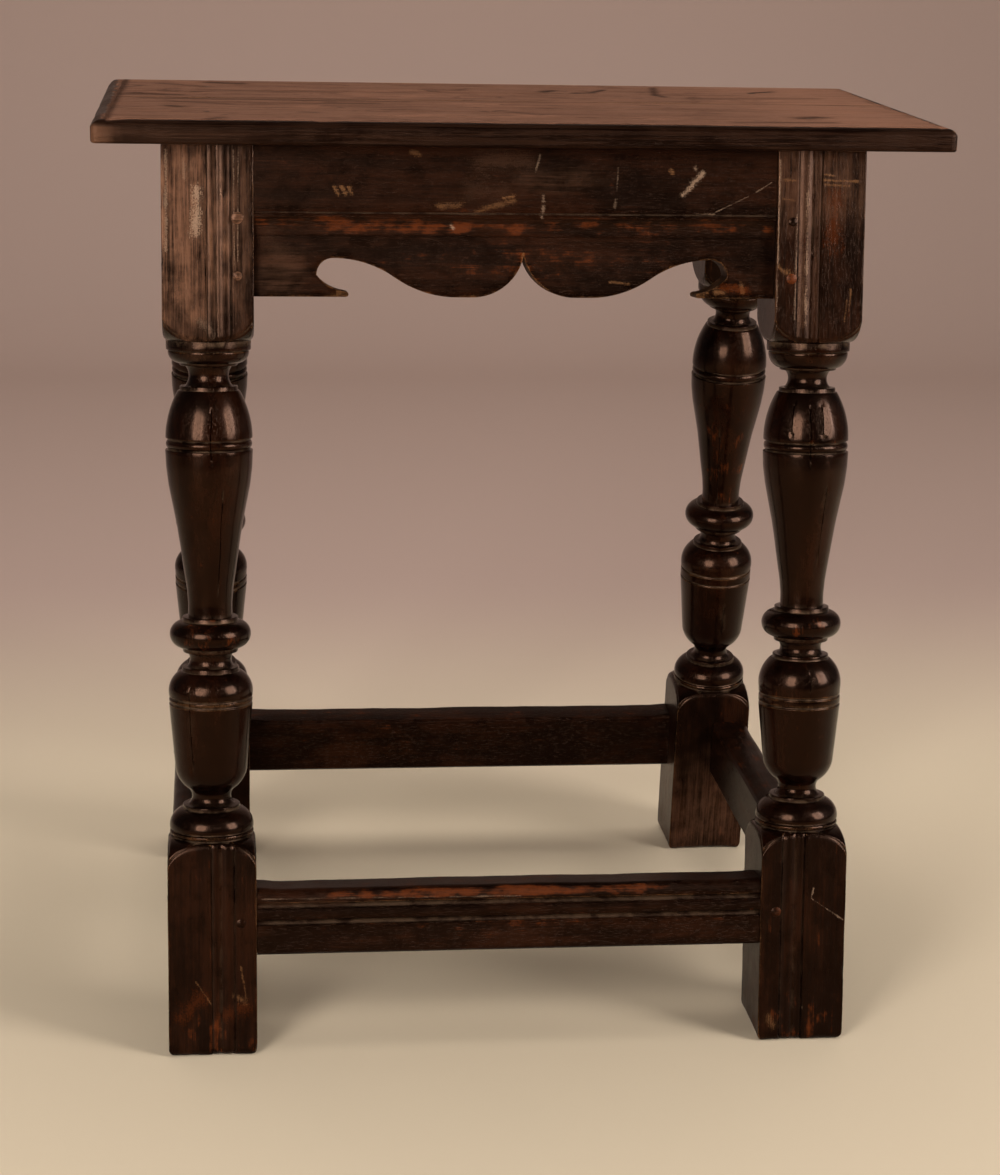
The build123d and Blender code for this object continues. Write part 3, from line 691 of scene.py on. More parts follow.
# The same on the boards of the top, with both ends of each as x and y; the first mark of each board is a
# painted sheen.
FRONT_BOARD_MARKS = (
    # Painted sheen: lightens the right end of the board.
    Mark("pale", 200, -150, 200, -20, 110.0, 1.0),
    Mark("dark", -238, 5.5, 238, 5.5, 2.6, 1.4),
    Mark("stain", -231, 4, -233, -168, 5.0, 1.6),
    Mark("stain", -215, -2, -60, -6, 9.0, 1.2),
    Mark("stain", -60, -4, 60, 2, 6.0, 0.8),
    Mark("stain", -195, -23, -164, -35, 8.0, 1.2),
    Mark("dark", -199, -50, -195, -56, 10.0, 1.4),
    Mark("dark", -177, -129, -170, -118, 8.0, 1.1),
    Mark("stain", -165, -150, -147, -152, 10.0, 1.4),
    Mark("stain", -110, -152, -60, -156, 8.0, 1.1),
    Mark("dark", -124, -81, -117, -83, 6.0, 1.1),
    Mark("stain", -5, -65, 8, -76, 8.0, 1.1),
    Mark("stain", 0, -138, 60, -142, 12.0, 1.1),
    Mark("stain", 110, -56, 117, -59, 8.0, 0.9),
    Mark("dark", 164, -84, 173, -77, 15.0, 1.4),
    Mark("stain", 120, -112, 175, -108, 10.0, 1.2),
    Mark("stain", 130, -140, 160, -142, 12.0, 1.2),
    Mark("stain", -150, -32, -80, -22, 10.0, 0.9),
)
BACK_BOARD_MARKS = (
    # Painted sheen: lightens the right end of the board.
    Mark("pale", 200, 20, 200, 150, 110.0, 1.0),
    Mark("dark", -238, 6.5, 238, 6.5, 2.6, 1.4),
    Mark("stain", -229, 168, -231, 8, 5.0, 1.6),
    Mark("dark", -177, 116, -157, 110, 11.0, 1.6),
    Mark("stain", -222, 30, -196, 24, 13.0, 1.4),
    Mark("stain", -208, 108, -180, 84, 9.0, 1.2),
    Mark("stain", -180, 60, -100, 52, 12.0, 0.8),
    Mark("dark", 32, 74, 38, 86, 10.0, 1.6),
    Mark("dark", 51, 69, 62, 74, 7.0, 1.6),
    Mark("dark", 62, 74, 74, 99, 5.0, 1.6),
    Mark("dark", 109, 120, 101, 62, 6.0, 1.2),
    Mark("dark", 101, 62, 105, 51, 8.0, 1.4),
    Mark("dark", 169, 90, 183, 100, 7.0, 1.6),
    Mark("stain", 100, 147, 122, 144, 6.0, 1.1),
    Mark("stain", -60, 150, 10, 146, 9.0, 0.8),
    Mark("stain", 120, 40, 200, 52, 14.0, 0.9),
    Mark("stain", -20, 40, 40, 36, 10.0, 0.8),
)
TREAD_MARKS = (
    Mark("bloom", -144.0, 86.5, -96.5, 87.0, 2.6, 0.6),
    Mark("chalk", -144.0, 90.0, 5.0, 89.0, 0.6, 0.35),
    Mark("bare", 137.5, 103.0, 141.5, 100.5, 2.2, 0.6),
)


# ---------------------------------------------------------------- legs

FOOT_BLOCK = 104.8
POMMEL_START = math.hypot(HALF_LEG, HALF_LEG) + 0.2
POMMEL_END = 24.0
POMMEL_HEIGHT = 18.5
POMMEL_SWELL = 4.2

# Members of the turning, from the foot upwards: height, radius at the start and end, and how far
# the curve stands off its chord.
TURNING = (
    Member("foot quirk", 0.7, 23.1, 23.1, 0.0),
    Member("foot bead", 3.0, 23.1, 23.1, 1.2),
    Member("dome quirk", 0.7, 23.1, 23.1, 0.0),
    Member("foot dome", 11.7, 24.2, 16.4, 2.6),
    Member("foot fillet", 2.2, 16.4, 16.4, 0.0),
    Member("lower neck", 9.4, 13.5, 13.5, -2.3),
    Member("vase bowl", 11.0, 13.5, 20.6, 1.3),
    Member("vase flare", 36.2, 20.6, 24.0, 0.0),
    Member("lower groove", 1.6, 24.0, 24.0, -0.7),
    Member("groove land", 2.6, 24.0, 24.0, 0.0),
    Member("upper groove", 1.6, 24.0, 24.0, -0.7),
    Member("vase band", 1.0, 24.0, 24.0, 0.0),
    Member("vase shoulder", 14.6, 24.0, 17.5, 2.5),
    Member("vase fillet", 2.6, 16.4, 16.4, 0.0),
    Member("middle neck", 8.7, 13.5, 13.5, -1.5),
    Member("ring lower fillet", 2.5, 15.9, 15.9, 0.0),
    Member("ring", 15.4, 16.6, 16.6, 6.7),
    Member("ring upper fillet", 2.5, 15.9, 15.9, 0.0),
    Member("baluster", 94.8, 12.5, 24.9, 0.0),
    Member("band lower quirk", 0.7, 23.1, 23.1, 0.0),
    Member("band bead", 5.1, 23.1, 23.1, 1.4),
    Member("band upper quirk", 0.7, 23.1, 23.1, 0.0),
    Member("cup rim", 1.6, 24.7, 24.7, 0.0),
    Member("cup", 25.9, 24.7, 17.4, 1.7),
    Member("cup fillet", 2.5, 16.4, 16.4, 0.0),
    Member("upper neck", 10.2, 13.5, 13.5, -2.2),
    Member("collar fillet", 1.5, 16.4, 16.4, 0.0),
    Member("collar", 8.9, 18.0, 23.0, 1.5),
    Member("head quirk", 0.7, 22.2, 22.2, 0.0),
    Member("head fillet", 5.2, 24.0, 24.0, 0.0),
)
# The outline of the baluster: share of the way up, and share of the swelling.
BALUSTER_SWELLING = ((0.0, 0.02), (0.07, 0.0), (0.17, 0.065), (0.27, 0.18), (0.41, 0.335), (0.55, 0.50),
                     (0.67, 0.68), (0.79, 0.86), (0.90, 0.968), (1.0, 1.0))

# The turner worked by eye, so some members stand higher or lower from leg to leg.
TURNING_CHANGES = {
    "leg_front_left": {"vase flare": 2.5, "groove land": -1.2, "vase band": -0.95, "vase shoulder": -0.35,
                       "baluster": 1.2, "cup rim": -0.8, "cup": 0.4, "upper neck": 1.4, "collar": -2.2},
    "leg_front_right": {"vase flare": -2.0, "groove land": 0.9, "vase band": 1.5, "vase shoulder": 3.4,
                        "middle neck": -0.8, "baluster": -3.6, "cup rim": 0.6},
    "leg_back_right": {"vase flare": 2.4, "groove land": 2.1, "vase band": -0.95, "vase shoulder": 1.35,
                       "baluster": -5.2, "cup rim": 0.3},
    "leg_back_left": {"vase flare": 1.0, "groove land": 0.6, "vase band": 1.4, "vase shoulder": -0.8,
                      "baluster": -2.2},
}

# The moulding up the outer faces of the blocks, in distances from the inner arris: where each bead
# starts and ends, and how far it stands up from the quirk beside it.
QUIRK_DEPTH = 1.3
BEAD_RUNS = ((13.0, 20.0, 1.1), (21.3, 25.9, 0.5))

Crack = namedtuple("Crack", "degrees low high depth")
CRACK_WANDER = 0.03  # radians to each side
TURNING_WEAR = 0.08
TURNING_WAVE = 0.10
LEG_CRACKS = {
    "leg_front_left": (Crack(-88, 340, 374, 1.8), Crack(-121, 156, 222, 1.1), Crack(-70, 262, 330, 1.0)),
    "leg_front_right": (Crack(-83, 338, 376, 1.6), Crack(-57, 354, 378, 1.3), Crack(-101, 352, 377, 1.3),
                        Crack(-112, 275, 335, 1.1), Crack(-95, 205, 219, 1.0)),
    "leg_back_right": (Crack(70, 250, 320, 1.2), Crack(100, 160, 190, 1.0)),
    "leg_back_left": (Crack(84, 300, 372, 1.2), Crack(110, 165, 190, 1.0)),
}


def pommel_circle():
    """Centre (radius, height above the block) and radius of the curve that brings a block to round."""
    start, end = Vector((POMMEL_START, 0.0)), Vector((POMMEL_END, POMMEL_HEIGHT))
    chord = (end - start).length
    across = Vector((end.y - start.y, start.x - end.x)) / chord
    radius = (chord * chord / 4 + POMMEL_SWELL * POMMEL_SWELL) / (2 * POMMEL_SWELL)
    return (start + end) / 2 + across * (POMMEL_SWELL - radius), radius


def moulding_depths():
    """(distance from the inner arris, depth) across an outer face of a block."""
    pairs = [(0.0, 0.0), (11.5, 0.0), (11.9, 0.12), (13.0, QUIRK_DEPTH)]
    for start, end, swell in BEAD_RUNS:
        pairs.append((start, QUIRK_DEPTH))
        points = arc_points((start, 0.0), (end, 0.0), -swell, 0.8)
        pairs.extend((p.x, QUIRK_DEPTH - abs(p.y)) for p in points)
    pairs.append((26.15, 0.1))
    pairs.append((26.6, 0.0))
    return pairs


def block_columns(depths):
    """Where the lengthwise edges of a leg run on its blocks: face, and distance from the inner arris."""
    arris = (0.0, 0.3, 0.75, 1.5)
    moulded = sorted({round(u, 3) for u, _ in depths if u > 2})
    for gap in spread(1.5, 11.5, 2.2) + spread(26.6, LEG_SIZE - 1.5, 2.3):
        moulded.append(gap)
    plain = spread(1.5, LEG_SIZE - 1.5, 2.3)
    columns = []
    for face, middle in (("front", moulded), ("left", moulded), ("back", plain), ("right", plain)):
        places = list(arris) + middle + [LEG_SIZE - u for u in arris[1:]]
        columns.extend((face, u) for u in sorted(places))
    return columns


FACE_FRAMES = {  # outward direction, and direction towards the inner arris
    "front": (Vector((0, -1)), Vector((1, 0))),
    "left": (Vector((-1, 0)), Vector((0, 1))),
    "back": (Vector((0, 1)), Vector((-1, 0))),
    "right": (Vector((1, 0)), Vector((0, -1))),
}


def block_point(face, u, rounding, depths):
    """Point on the outline of a block, with its corners rounded."""
    outward, inward = FACE_FRAMES[face]
    depth = interpolate(depths, u) if face in ("front", "left") else 0.0
    edge = min(u, LEG_SIZE - u)
    along = HALF_LEG - u
    if edge < rounding:
        turn = math.radians(45) * (1 - edge / rounding)
        depth = rounding * (1 - math.cos(turn))
        along = math.copysign(HALF_LEG - rounding + rounding * math.sin(turn), along)
    return outward * (HALF_LEG - depth) + inward * along


CURVE_PITCH = 1.1
STRAIGHT_PITCH = 2.6
TURNED_CORNER = 0.28


def turned_rows(changes):
    """Rows of the turned part: radius and height, from the foot pommel to the head pommel."""
    z = FOOT_BLOCK + POMMEL_HEIGHT
    points = [Vector((POMMEL_END, z))]
    for member in TURNING:
        height = member.height + changes.get(member.name, 0.0)
        start, end = Vector((member.start, z)), Vector((member.end, z + height))
        if (points[-1] - start).length > 1e-6:
            points.append(start)
        if member.name == "baluster":
            swelling = member.end - member.start
            for part in spread(0.0, 1.0, STRAIGHT_PITCH / height) + [1.0]:
                radius = member.start + swelling * interpolate(BALUSTER_SWELLING, part)
                points.append(Vector((radius, z + part * height)))
        else:
            pitch = CURVE_PITCH if member.swell else STRAIGHT_PITCH
            points.extend(arc_points(start, end, member.swell, pitch))
        z += height
    points.append(Vector((POMMEL_END, z)))
    return softened(points, TURNED_CORNER)


LAYOUT_ARRIS = 0.5  # rounding of the arrises while the columns are set out
LEAST_ARRIS = 0.35
CHIP_REACH = 2.5  # how far from an arris the chips start
CHIP_DEPTH = 0.8
EAR_ROUNDING = 3.2  # how far on both sides of the crease the wear reaches
EAR_WEAR = 1.05  # how much is worn off in the crease itself
# Steps up an ear: below its crease and above it as shares of the way, round the crease in millimetres.
EAR_STEPS = (
    ("below", 0.0), ("below", 0.35), ("below", 0.7), ("below", 1.0),
    ("crease", -2.4), ("crease", -1.4), ("crease", -0.6), ("crease", 0.0),
    ("crease", 0.6), ("crease", 1.4), ("crease", 2.4), ("above", 0.0),
    ("above", 0.25), ("above", 0.5), ("above", 0.75), ("above", 1.0),
)


def leg_rows(name, pitch):
    """Rows up a leg from below its foot to above its head, and where its head block starts."""
    turned = turned_rows(TURNING_CHANGES[name])
    head_block = turned[-1].y + POMMEL_HEIGHT
    top = LEG_LENGTH + CUT_ALLOWANCE
    rows = [Row("block", z) for z in [-CUT_ALLOWANCE] + spread(-CUT_ALLOWANCE, FOOT_BLOCK, pitch)]
    rows += [Row("foot ear", step=step) for step in EAR_STEPS]
    rows += [Row("turned", p.y, p.x) for p in turned]
    rows += [Row("head ear", step=step) for step in reversed(EAR_STEPS)]
    rows += [Row("block", z) for z in spread(head_block, top, pitch) + [top]]
    return rows, head_block


def leg_columns(depths):
    """The lengthwise edges of a leg in their order round it, no two in one place."""
    columns = block_columns(depths)
    columns.sort(key=lambda c: math.atan2(*reversed(block_point(*c, LAYOUT_ARRIS, depths))) % math.tau)
    apart = []
    for face, u in columns:
        point = block_point(face, u, LAYOUT_ARRIS, depths)
        if not apart or (point - block_point(*apart[-1], LAYOUT_ARRIS, depths)).length > 0.05:
            apart.append((face, u))
    return apart


def spun_rings(rings, columns):
    """A tube of rings of vertices, each vertex with the number of its ring."""
    bm = bmesh.new()
    ring = bm.verts.layers.int.new("ring")
    chain = []
    for i in range(rings):
        v = bm.verts.new((HALF_LEG * math.sqrt(2), 0.0, float(i)))
        v[ring] = i
        chain.append(v)
    for a, b in zip(chain, chain[1:]):
        bm.edges.new((a, b))
    bmesh.ops.spin(bm, geom=bm.verts[:] + bm.edges[:], cent=(0, 0, 0), axis=(0, 0, 1), dvec=(0, 0, 0),
                   angle=math.tau, steps=columns, use_merge=True)
    return bm, ring


def nearest_column(angles, degrees):
    """The column that runs nearest to this direction."""
    target = math.radians(degrees)
    return min(range(len(angles)), key=lambda i: abs((angles[i] - target + math.pi) % math.tau - math.pi))


def cracked(angles, k, radius, z, cracks, width):
    """Direction and radius of a column at one height, drawn into the crack that runs along it."""
    angle = angles[k]
    for nearest, crack in cracks:
        if not crack.low < z < crack.high:
            continue
        strength = min(1.0, 4 * min(z - crack.low, crack.high - z) / (crack.high - crack.low))
        centre = angles[nearest] + CRACK_WANDER * waver((0, 0, z), 14.0, crack.degrees)
        half_width = width / 2 / radius
        beside = (k - nearest) % len(angles)
        if beside == 0:
            angle = centre
            radius -= crack.depth * strength
        elif beside in (1, len(angles) - 1):
            side = 1 if beside == 1 else -1
            angle += (centre + side * half_width - angle) * strength
    return angle, radius


def block_place(face, u, z, depths, seed, wear):
    """Point on the outline of a block at one height, with worn arrises, hand waviness and chips."""
    wave = wear.waviness / MM
    rounding = wear.arris / MM * (1 + 0.7 * waver((u, 3 * face_number(face), z), 21.0, seed))
    point = block_point(face, u, max(LEAST_ARRIS, rounding), depths)
    shrink = wave * (0.5 + 0.5 * waver((point.x, point.y, z), 38.0, seed + 2))
    shrink += 0.12 * wave * waver((point.x, point.y, z), 7.0, seed + 4)
    edge = min(u, LEG_SIZE - u)
    if edge < CHIP_REACH:
        chip = smooth_step(0.42, 0.75, waver((point.x, point.y, z), 6.5, seed + 6))
        shrink += chip * CHIP_DEPTH * smooth_step(CHIP_REACH, 0.0, edge)
    return point * (1 - shrink / point.length)


def ear_place(point, kind, place, base, up, pommel):
    """Point and height on an ear, where a block meets its pommel in a crease that wear has rounded."""
    centre, radius = pommel
    lift = math.acos(min(0.999, (point.length - centre.x) / radius))
    crease = centre.y + radius * math.sin(lift)
    if kind == "below":
        return point, base + up * (crease - EAR_ROUNDING) * place
    worn = EAR_WEAR * (1 - min(1.0, abs(place) / EAR_ROUNDING)) ** 2 if kind == "crease" else 0.0
    if kind == "crease" and place <= 0:
        return point.normalized() * (point.length - worn), base + up * (crease + place - worn * 0.3)
    start = lift + EAR_ROUNDING / radius
    end = math.acos((POMMEL_END - centre.x) / radius)
    turn = lift + place / radius if kind == "crease" else start + (end - start) * place
    reach = centre.x + radius * math.cos(turn) - worn
    height = centre.y + radius * math.sin(turn) - worn * 0.6
    return point.normalized() * reach, base + up * height


def leg_mesh(name, seed, wear):
    """A leg upright about its own axis, with its inner faces towards +X and +Y."""
    rows, head_block = leg_rows(name, wear.pitch / MM)
    depths = moulding_depths()
    columns = leg_columns(depths)
    angles = [math.atan2(p.y, p.x) for p in (block_point(*c, LAYOUT_ARRIS, depths) for c in columns)]
    cracks = [(nearest_column(angles, crack.degrees), crack) for crack in LEG_CRACKS[name]]
    pommel = pommel_circle()
    bm, ring = spun_rings(len(rows), len(columns))
    for v in bm.verts:
        row = rows[v[ring]]
        k = round((math.atan2(v.co.y, v.co.x) % math.tau) / math.tau * len(columns)) % len(columns)
        if row.zone == "turned":
            angle, radius = cracked(angles, k, row.radius, row.height, cracks, wear.crack / MM)
            place = (math.cos(angle) * 20, math.sin(angle) * 20, row.height)
            radius += TURNING_WAVE * waver(place, 16.0, seed) - TURNING_WEAR
            v.co = (radius * math.cos(angle), radius * math.sin(angle), row.height)
            continue
        face, u = columns[k]
        z = {"block": row.height, "foot ear": FOOT_BLOCK, "head ear": head_block}[row.zone]
        point = block_place(face, u, z, depths, seed, wear)
        if row.step:
            up = 1 if row.zone == "foot ear" else -1
            point, z = ear_place(point, *row.step, z, up, pommel)
        v.co = (point.x, point.y, z)
    bm.verts.layers.int.remove(ring)
    bmesh.ops.remove_doubles(bm, verts=bm.verts, dist=0.02)
    return bm


def face_number(face):
    """Tells the faces of a block apart in the noise that wears them."""
    return list(FACE_FRAMES).index(face) + 1


FOOT_STEPS = (0.08, 0.25, 0.5, 0.75, 1.0)  # cuts up the rounding of a foot


def cut_foot_and_head(bm, stand, wear):
    """Cuts a leaning leg level at the floor and under the top, and rounds the edge of its foot."""
    floor = stand.inverted()
    up = (floor.to_3x3() @ Vector((0, 0, 1))).normalized()
    foot = floor @ Vector((0, 0, 0))
    head = floor @ Vector((0, 0, LEG_HEIGHT))
    cut(bm, head, up, clear=True)
    cut(bm, foot, -up, clear=True)
    radius = wear.foot / MM
    for part in FOOT_STEPS:
        cut(bm, foot + up * radius * part, up)
    for v in bm.verts:
        height = (v.co - foot).dot(up)
        if height < radius - 1e-4:
            drawn = radius - math.sqrt(max(0.0, radius * radius - (radius - height) ** 2))
            drawn *= 1 + 0.5 * waver(v.co, 12.0, 3)
            axis = Vector((0, 0, (height + foot.dot(up)) / up.z))
            away = v.co - axis
            if away.length > 1.0:
                v.co = axis + away * (1 - drawn / away.length)


def is_turned(z):
    """Whether this height lies in the round part of a leg."""
    return FOOT_BLOCK + POMMEL_HEIGHT < z < FOOT_BLOCK + POMMEL_HEIGHT + sum(m.height for m in TURNING)


# Each leg with its place in the frame and its seed.
LEGS = (
    ("leg_front_left", LEG_STAND, 1),
    ("leg_front_right", MIRROR @ LEG_STAND, 2),
    ("leg_back_right", HALF_TURN @ LEG_STAND, 3),
    ("leg_back_left", HALF_TURN @ MIRROR @ LEG_STAND, 4),
)
PLANED = {
    "leg_front_left": "left_leg_oak",
    "leg_front_right": "right_leg_oak",
    "leg_back_right": "planed_oak",
    "leg_back_left": "planed_oak",
}
LEG_BLOOM = {
    "leg_front_left": (Patch(-9, -26, 470, 24, 12, 72, 1.0), Patch(16, -26, 470, 9, 12, 66, 0.4),
                       Patch(-26, 0, 470, 12, 40, 66, 0.6)),
    "leg_front_right": (Patch(10, -26, 500, 60, 12, 30, 0.35),),
    "leg_back_right": (Patch(0, 0, 470, 30, 30, 62, 0.30), Patch(0, 0, 30, 60, 60, 60, 0.35)),
    "leg_back_left": (Patch(0, 0, 470, 30, 30, 62, 0.40),),
}
LEG_GLOW = {
    "leg_front_left": (Patch(0, -20, 240, 30, 30, 14, 0.35), Patch(0, 0, 8, 40, 40, 24, 0.45)),
    "leg_front_right": (Patch(0, -20, 240, 30, 30, 14, 0.35), Patch(0, 0, 10, 40, 40, 26, 0.5)),
    "leg_back_right": (Patch(0, 0, 300, 30, 30, 60, 0.35), Patch(0, 0, 8, 40, 40, 20, 0.5)),
    "leg_back_left": (Patch(0, 0, 300, 30, 30, 60, 0.35), Patch(0, 0, 8, 40, 40, 14, 0.5)),
}


class STOOL_OT_make_legs(Operator):
    """Turn the four splayed legs, with square blocks for the joints at the head and the foot"""

    bl_idname = "stool.make_legs"
    bl_label = "Make legs"

    def execute(self, context):
        wear = context.scene.stool_wear
        for name, stand, seed in LEGS:
            bm = leg_mesh(name, seed, wear)
            cut_foot_and_head(bm, stand, wear)
            for face in bm.faces:
                middle = face.calc_center_median()
                flat = max(abs(face.normal.x), abs(face.normal.y)) > 0.8
                side = max(abs(middle.x), abs(middle.y)) > POMMEL_END + 0.1
                face.material_index = int(flat and side and not is_turned(middle.z))
            finish_piece(bm, name, stand, ["turned_oak", PLANED[name]], seed,
                         bloom=LEG_BLOOM[name], glow=LEG_GLOW[name])
        return {"FINISHED"}


# ---------------------------------------------------------------- rails

RAIL_HEIGHT = 84.3
FIELD_DEPTH = 5.8
FIELD_TOP = 475.0  # up the plane of the front, in the moulding between the field and the frieze
SCALLOP_RISE = 21.6
SCALLOP_LIP = 3.0
LIP_SWELL = 1.9
CUSP_HEIGHT = 23.4
NUB_REACH = 8.6
NUB_RADIUS = 1.5
SAWN_ARRIS = 0.55
SAWN_REACH = SCALLOP_RISE + 3  # nothing that was sawn lies higher above the lower edge
RAIL_PITCH = 4.2
Scallop = namedtuple("Scallop", "lobe_radius lobe_flat cut_distance cusp shift")
LONG_SCALLOP = Scallop(29.4, 9.0, 107.0, CUSP_HEIGHT, 4.0)
SIDE_SCALLOP = Scallop(13.5, 3.0, 47.0, CUSP_HEIGHT - 6.2, 0.0)
# (height above the lower edge, depth from the outer face of the legs) up the face of a rail
RAIL_FACE = (
    (33.9, FIELD_DEPTH), (34.1, 4.5), (34.35, 4.4), (37.0, 4.4), (37.3, 4.28), (38.6, 4.15), (40.4, 3.72),
    (42.2, 2.95), (43.4, 2.1), (43.6, 1.9), (43.9, 1.45), (44.4, 1.15), (45.0, 1.1), (45.6, 1.15),
    (46.1, 1.45), (46.4, 1.9), (47.1, 1.9), (47.25, 1.1), (47.5, 1.0), (84.3, 1.0),
)


def member_end(slope, height):
    """Half the length of a member between the legs at this height."""
    if slope == 0:
        return LEG_SPACING / 2 - HALF_LEG - SHOULDER_GAP
    return FOOT_SPREAD / 2 - HALF_LEG / math.cos(SPLAY) - slope * height - SHOULDER_GAP


def member_base(slope, height):
    """Where a member's lower edge lies in its own plane."""
    if slope:
        return height
    return (height - (HALF_LEG - MEMBER_RECESS) * math.sin(SPLAY)) / math.cos(SPLAY)


def scalloped_half(slope, base, scallop):
    """Lower edge of a rail from its middle to its right end, in its own plane."""
    radius, flat, distance, cusp, _ = scallop
    lobe_middle = math.sqrt(radius**2 - (radius - cusp) ** 2)
    ogee_start = lobe_middle + flat
    ogee_middle = (ogee_start + distance) / 2
    half_chord = math.hypot(distance - ogee_start, SCALLOP_RISE) / 2
    ogee_radius = half_chord**2 / SCALLOP_RISE
    ogee_swell = ogee_radius - math.sqrt(ogee_radius**2 - (half_chord / 2) ** 2)
    hole = (SCALLOP_RISE - SCALLOP_LIP) / 2
    nub_middle = distance - NUB_REACH + NUB_RADIUS
    lobe_swell = radius - math.sqrt(radius**2 - (lobe_middle**2 + cusp**2) / 4)
    hole_swell = hole * (1 - math.sqrt(0.5))
    runs = (
        ((lobe_middle, 0.0), lobe_swell), ((ogee_start, 0.0), 0.0),
        ((ogee_middle, SCALLOP_RISE / 2), ogee_swell), ((distance, SCALLOP_RISE), -ogee_swell),
        ((distance + hole, SCALLOP_RISE - hole), -hole_swell), ((nub_middle, 2 * NUB_RADIUS), -LIP_SWELL),
        ((nub_middle, 0.0), NUB_RADIUS),
        ((member_end(slope, base), 0.0), 0.0),
    )
    points = [Vector((0.0, cusp))]
    for end, swell in runs:
        points.extend(arc_points(points[-1], end, swell, 1.6 if swell else 6.0))
    return [(p.x, base + p.y) for p in points]


def rail_mesh(slope, scallop, seed, wear):
    """A frieze rail in its own plane: sawn lower edge, sunk field, run moulding and plain frieze."""
    base = member_base(slope, LEG_HEIGHT - RAIL_HEIGHT)
    top = base + RAIL_HEIGHT + (0 if slope else 2.5)
    half = scalloped_half(slope, base, scallop)
    right = [(x + scallop.shift, z) for x, z in half[:-1]] + [half[-1]]
    left = [(scallop.shift - x, z) for x, z in half[1:-1]] + [(-half[-1][0], half[-1][1])]
    head = member_end(slope, top)
    outline = left[::-1] + right + [(head, top), (-head, top)]
    front, back = FIELD_DEPTH - HALF_LEG, MEMBER_RECESS - HALF_LEG + MEMBER_THICKNESS
    bm = plate(outline, front, back)
    # Both arrises of the lower edge, and neither its cross edges nor those of the shoulders.
    sawn = [e for e in bm.edges
            if all(abs(v.co.y - front) < 0.01 or abs(v.co.y - back) < 0.01 for v in e.verts)
            and abs(e.verts[0].co.y - e.verts[1].co.y) < 0.01
            and max(v.co.z for v in e.verts) < base + SAWN_REACH
            and max(abs(v.co.x) for v in e.verts) < half[-1][0] + 0.01
            and not all(abs(v.co.x) > member_end(slope, base + 10) - 0.5 for v in e.verts)]
    bevel(bm, sawn, SAWN_ARRIS)
    heights = [base + h for h, _ in RAIL_FACE[:-1]]
    slice_up(bm, 2, heights + spread(base, heights[0], RAIL_PITCH) + spread(heights[-1], top, RAIL_PITCH))
    reach = member_end(slope, base)
    slice_up(bm, 0, spread(-reach, reach, wear.pitch / MM * 1.4))
    faces = [(base + h, d) for h, d in RAIL_FACE]
    wave = wear.waviness / MM
    for v in bm.verts:
        if v.co.y < front + 0.01 and v.co.z > faces[0][0] + 0.01:
            v.co.y = interpolate(faces, v.co.z) - HALF_LEG
        inner = 1 if v.co.y > 0 else -1
        v.co.y -= inner * wave * (0.5 + 0.5 * waver((v.co.x, 0, v.co.z), 45.0, seed))
        v.co.y -= inner * 0.10 * wave * waver((v.co.x, 0, v.co.z), 8.0, seed + 3)
    roof = (FRONT_PLANE if slope == 0 else RIGHT_PLANE).inverted()
    up = (roof.to_3x3() @ Vector((0, 0, 1))).normalized()
    cut(bm, roof @ Vector((0, 0, LEG_HEIGHT)), up, clear=True)
    bm.normal_update()
    for face in bm.faces:
        low = face.calc_center_median().z < base + SAWN_REACH
        face.material_index = int(low and abs(face.normal.y) < 0.4)
    return bm


LONG_RAIL_GLOW = (Patch(-90, -23, 474, 100, 9, 6, 0.65), Patch(60, -23, 474, 130, 9, 5, 0.55),
                  Patch(0, -20, 455, 110, 9, 14, 0.3))
LONG_RAIL_BLOOM = (Patch(-132, -20, 447, 20, 9, 16, 0.22), Patch(20, -24, 500, 30, 9, 8, 0.15))


class STOOL_OT_make_long_rails(Operator):
    """Saw and mould the long frieze rails of the front and back"""

    bl_idname = "stool.make_long_rails"
    bl_label = "Make long rails"

    def execute(self, context):
        wear = context.scene.stool_wear
        for name, turn, material, seed in (
            ("rail_front", Matrix.Identity(4), "frieze_oak", 5),
            ("rail_back", HALF_TURN, "planed_oak", 6),
        ):
            bm = rail_mesh(0.0, LONG_SCALLOP, seed, wear)
            finish_piece(bm, name, turn @ FRONT_PLANE, [material, "sawn_oak"], seed,
                         grain="X", bloom=LONG_RAIL_BLOOM, glow=LONG_RAIL_GLOW)
        return {"FINISHED"}


class STOOL_OT_make_side_rails(Operator):
    """Saw and mould the short frieze rails, shouldered to the lean of the legs"""

    bl_idname = "stool.make_side_rails"
    bl_label = "Make side rails"

    def execute(self, context):
        wear = context.scene.stool_wear
        for name, turn, seed in (("rail_right", Matrix.Identity(4), 7), ("rail_left", HALF_TURN, 8)):
            bm = rail_mesh(math.tan(SPLAY), SIDE_SCALLOP, seed, wear)
            finish_piece(bm, name, turn @ RIGHT_PLANE, ["planed_oak", "sawn_oak"], seed,
                         grain="X")
        return {"FINISHED"}


# ---------------------------------------------------------------- stretchers

STRETCHER_BOTTOM = 59.0
STRETCHER_HEIGHT = 39.0
NOSING = 6.0
STRETCHER_ARRIS = 1.6
SOFT_CORNER = 0.3
TREAD_WEAR = 0.7  # how much feet have worn off the upper edge, on the whole
FACE_WEAR = 0.8  # at most, off the face under that edge
GROOVES = ((17.6, 3.3, 1.5), (27.4, 3.6, 1.5))  # start above the lower edge, width, depth
BEAD_SWELL = 0.5


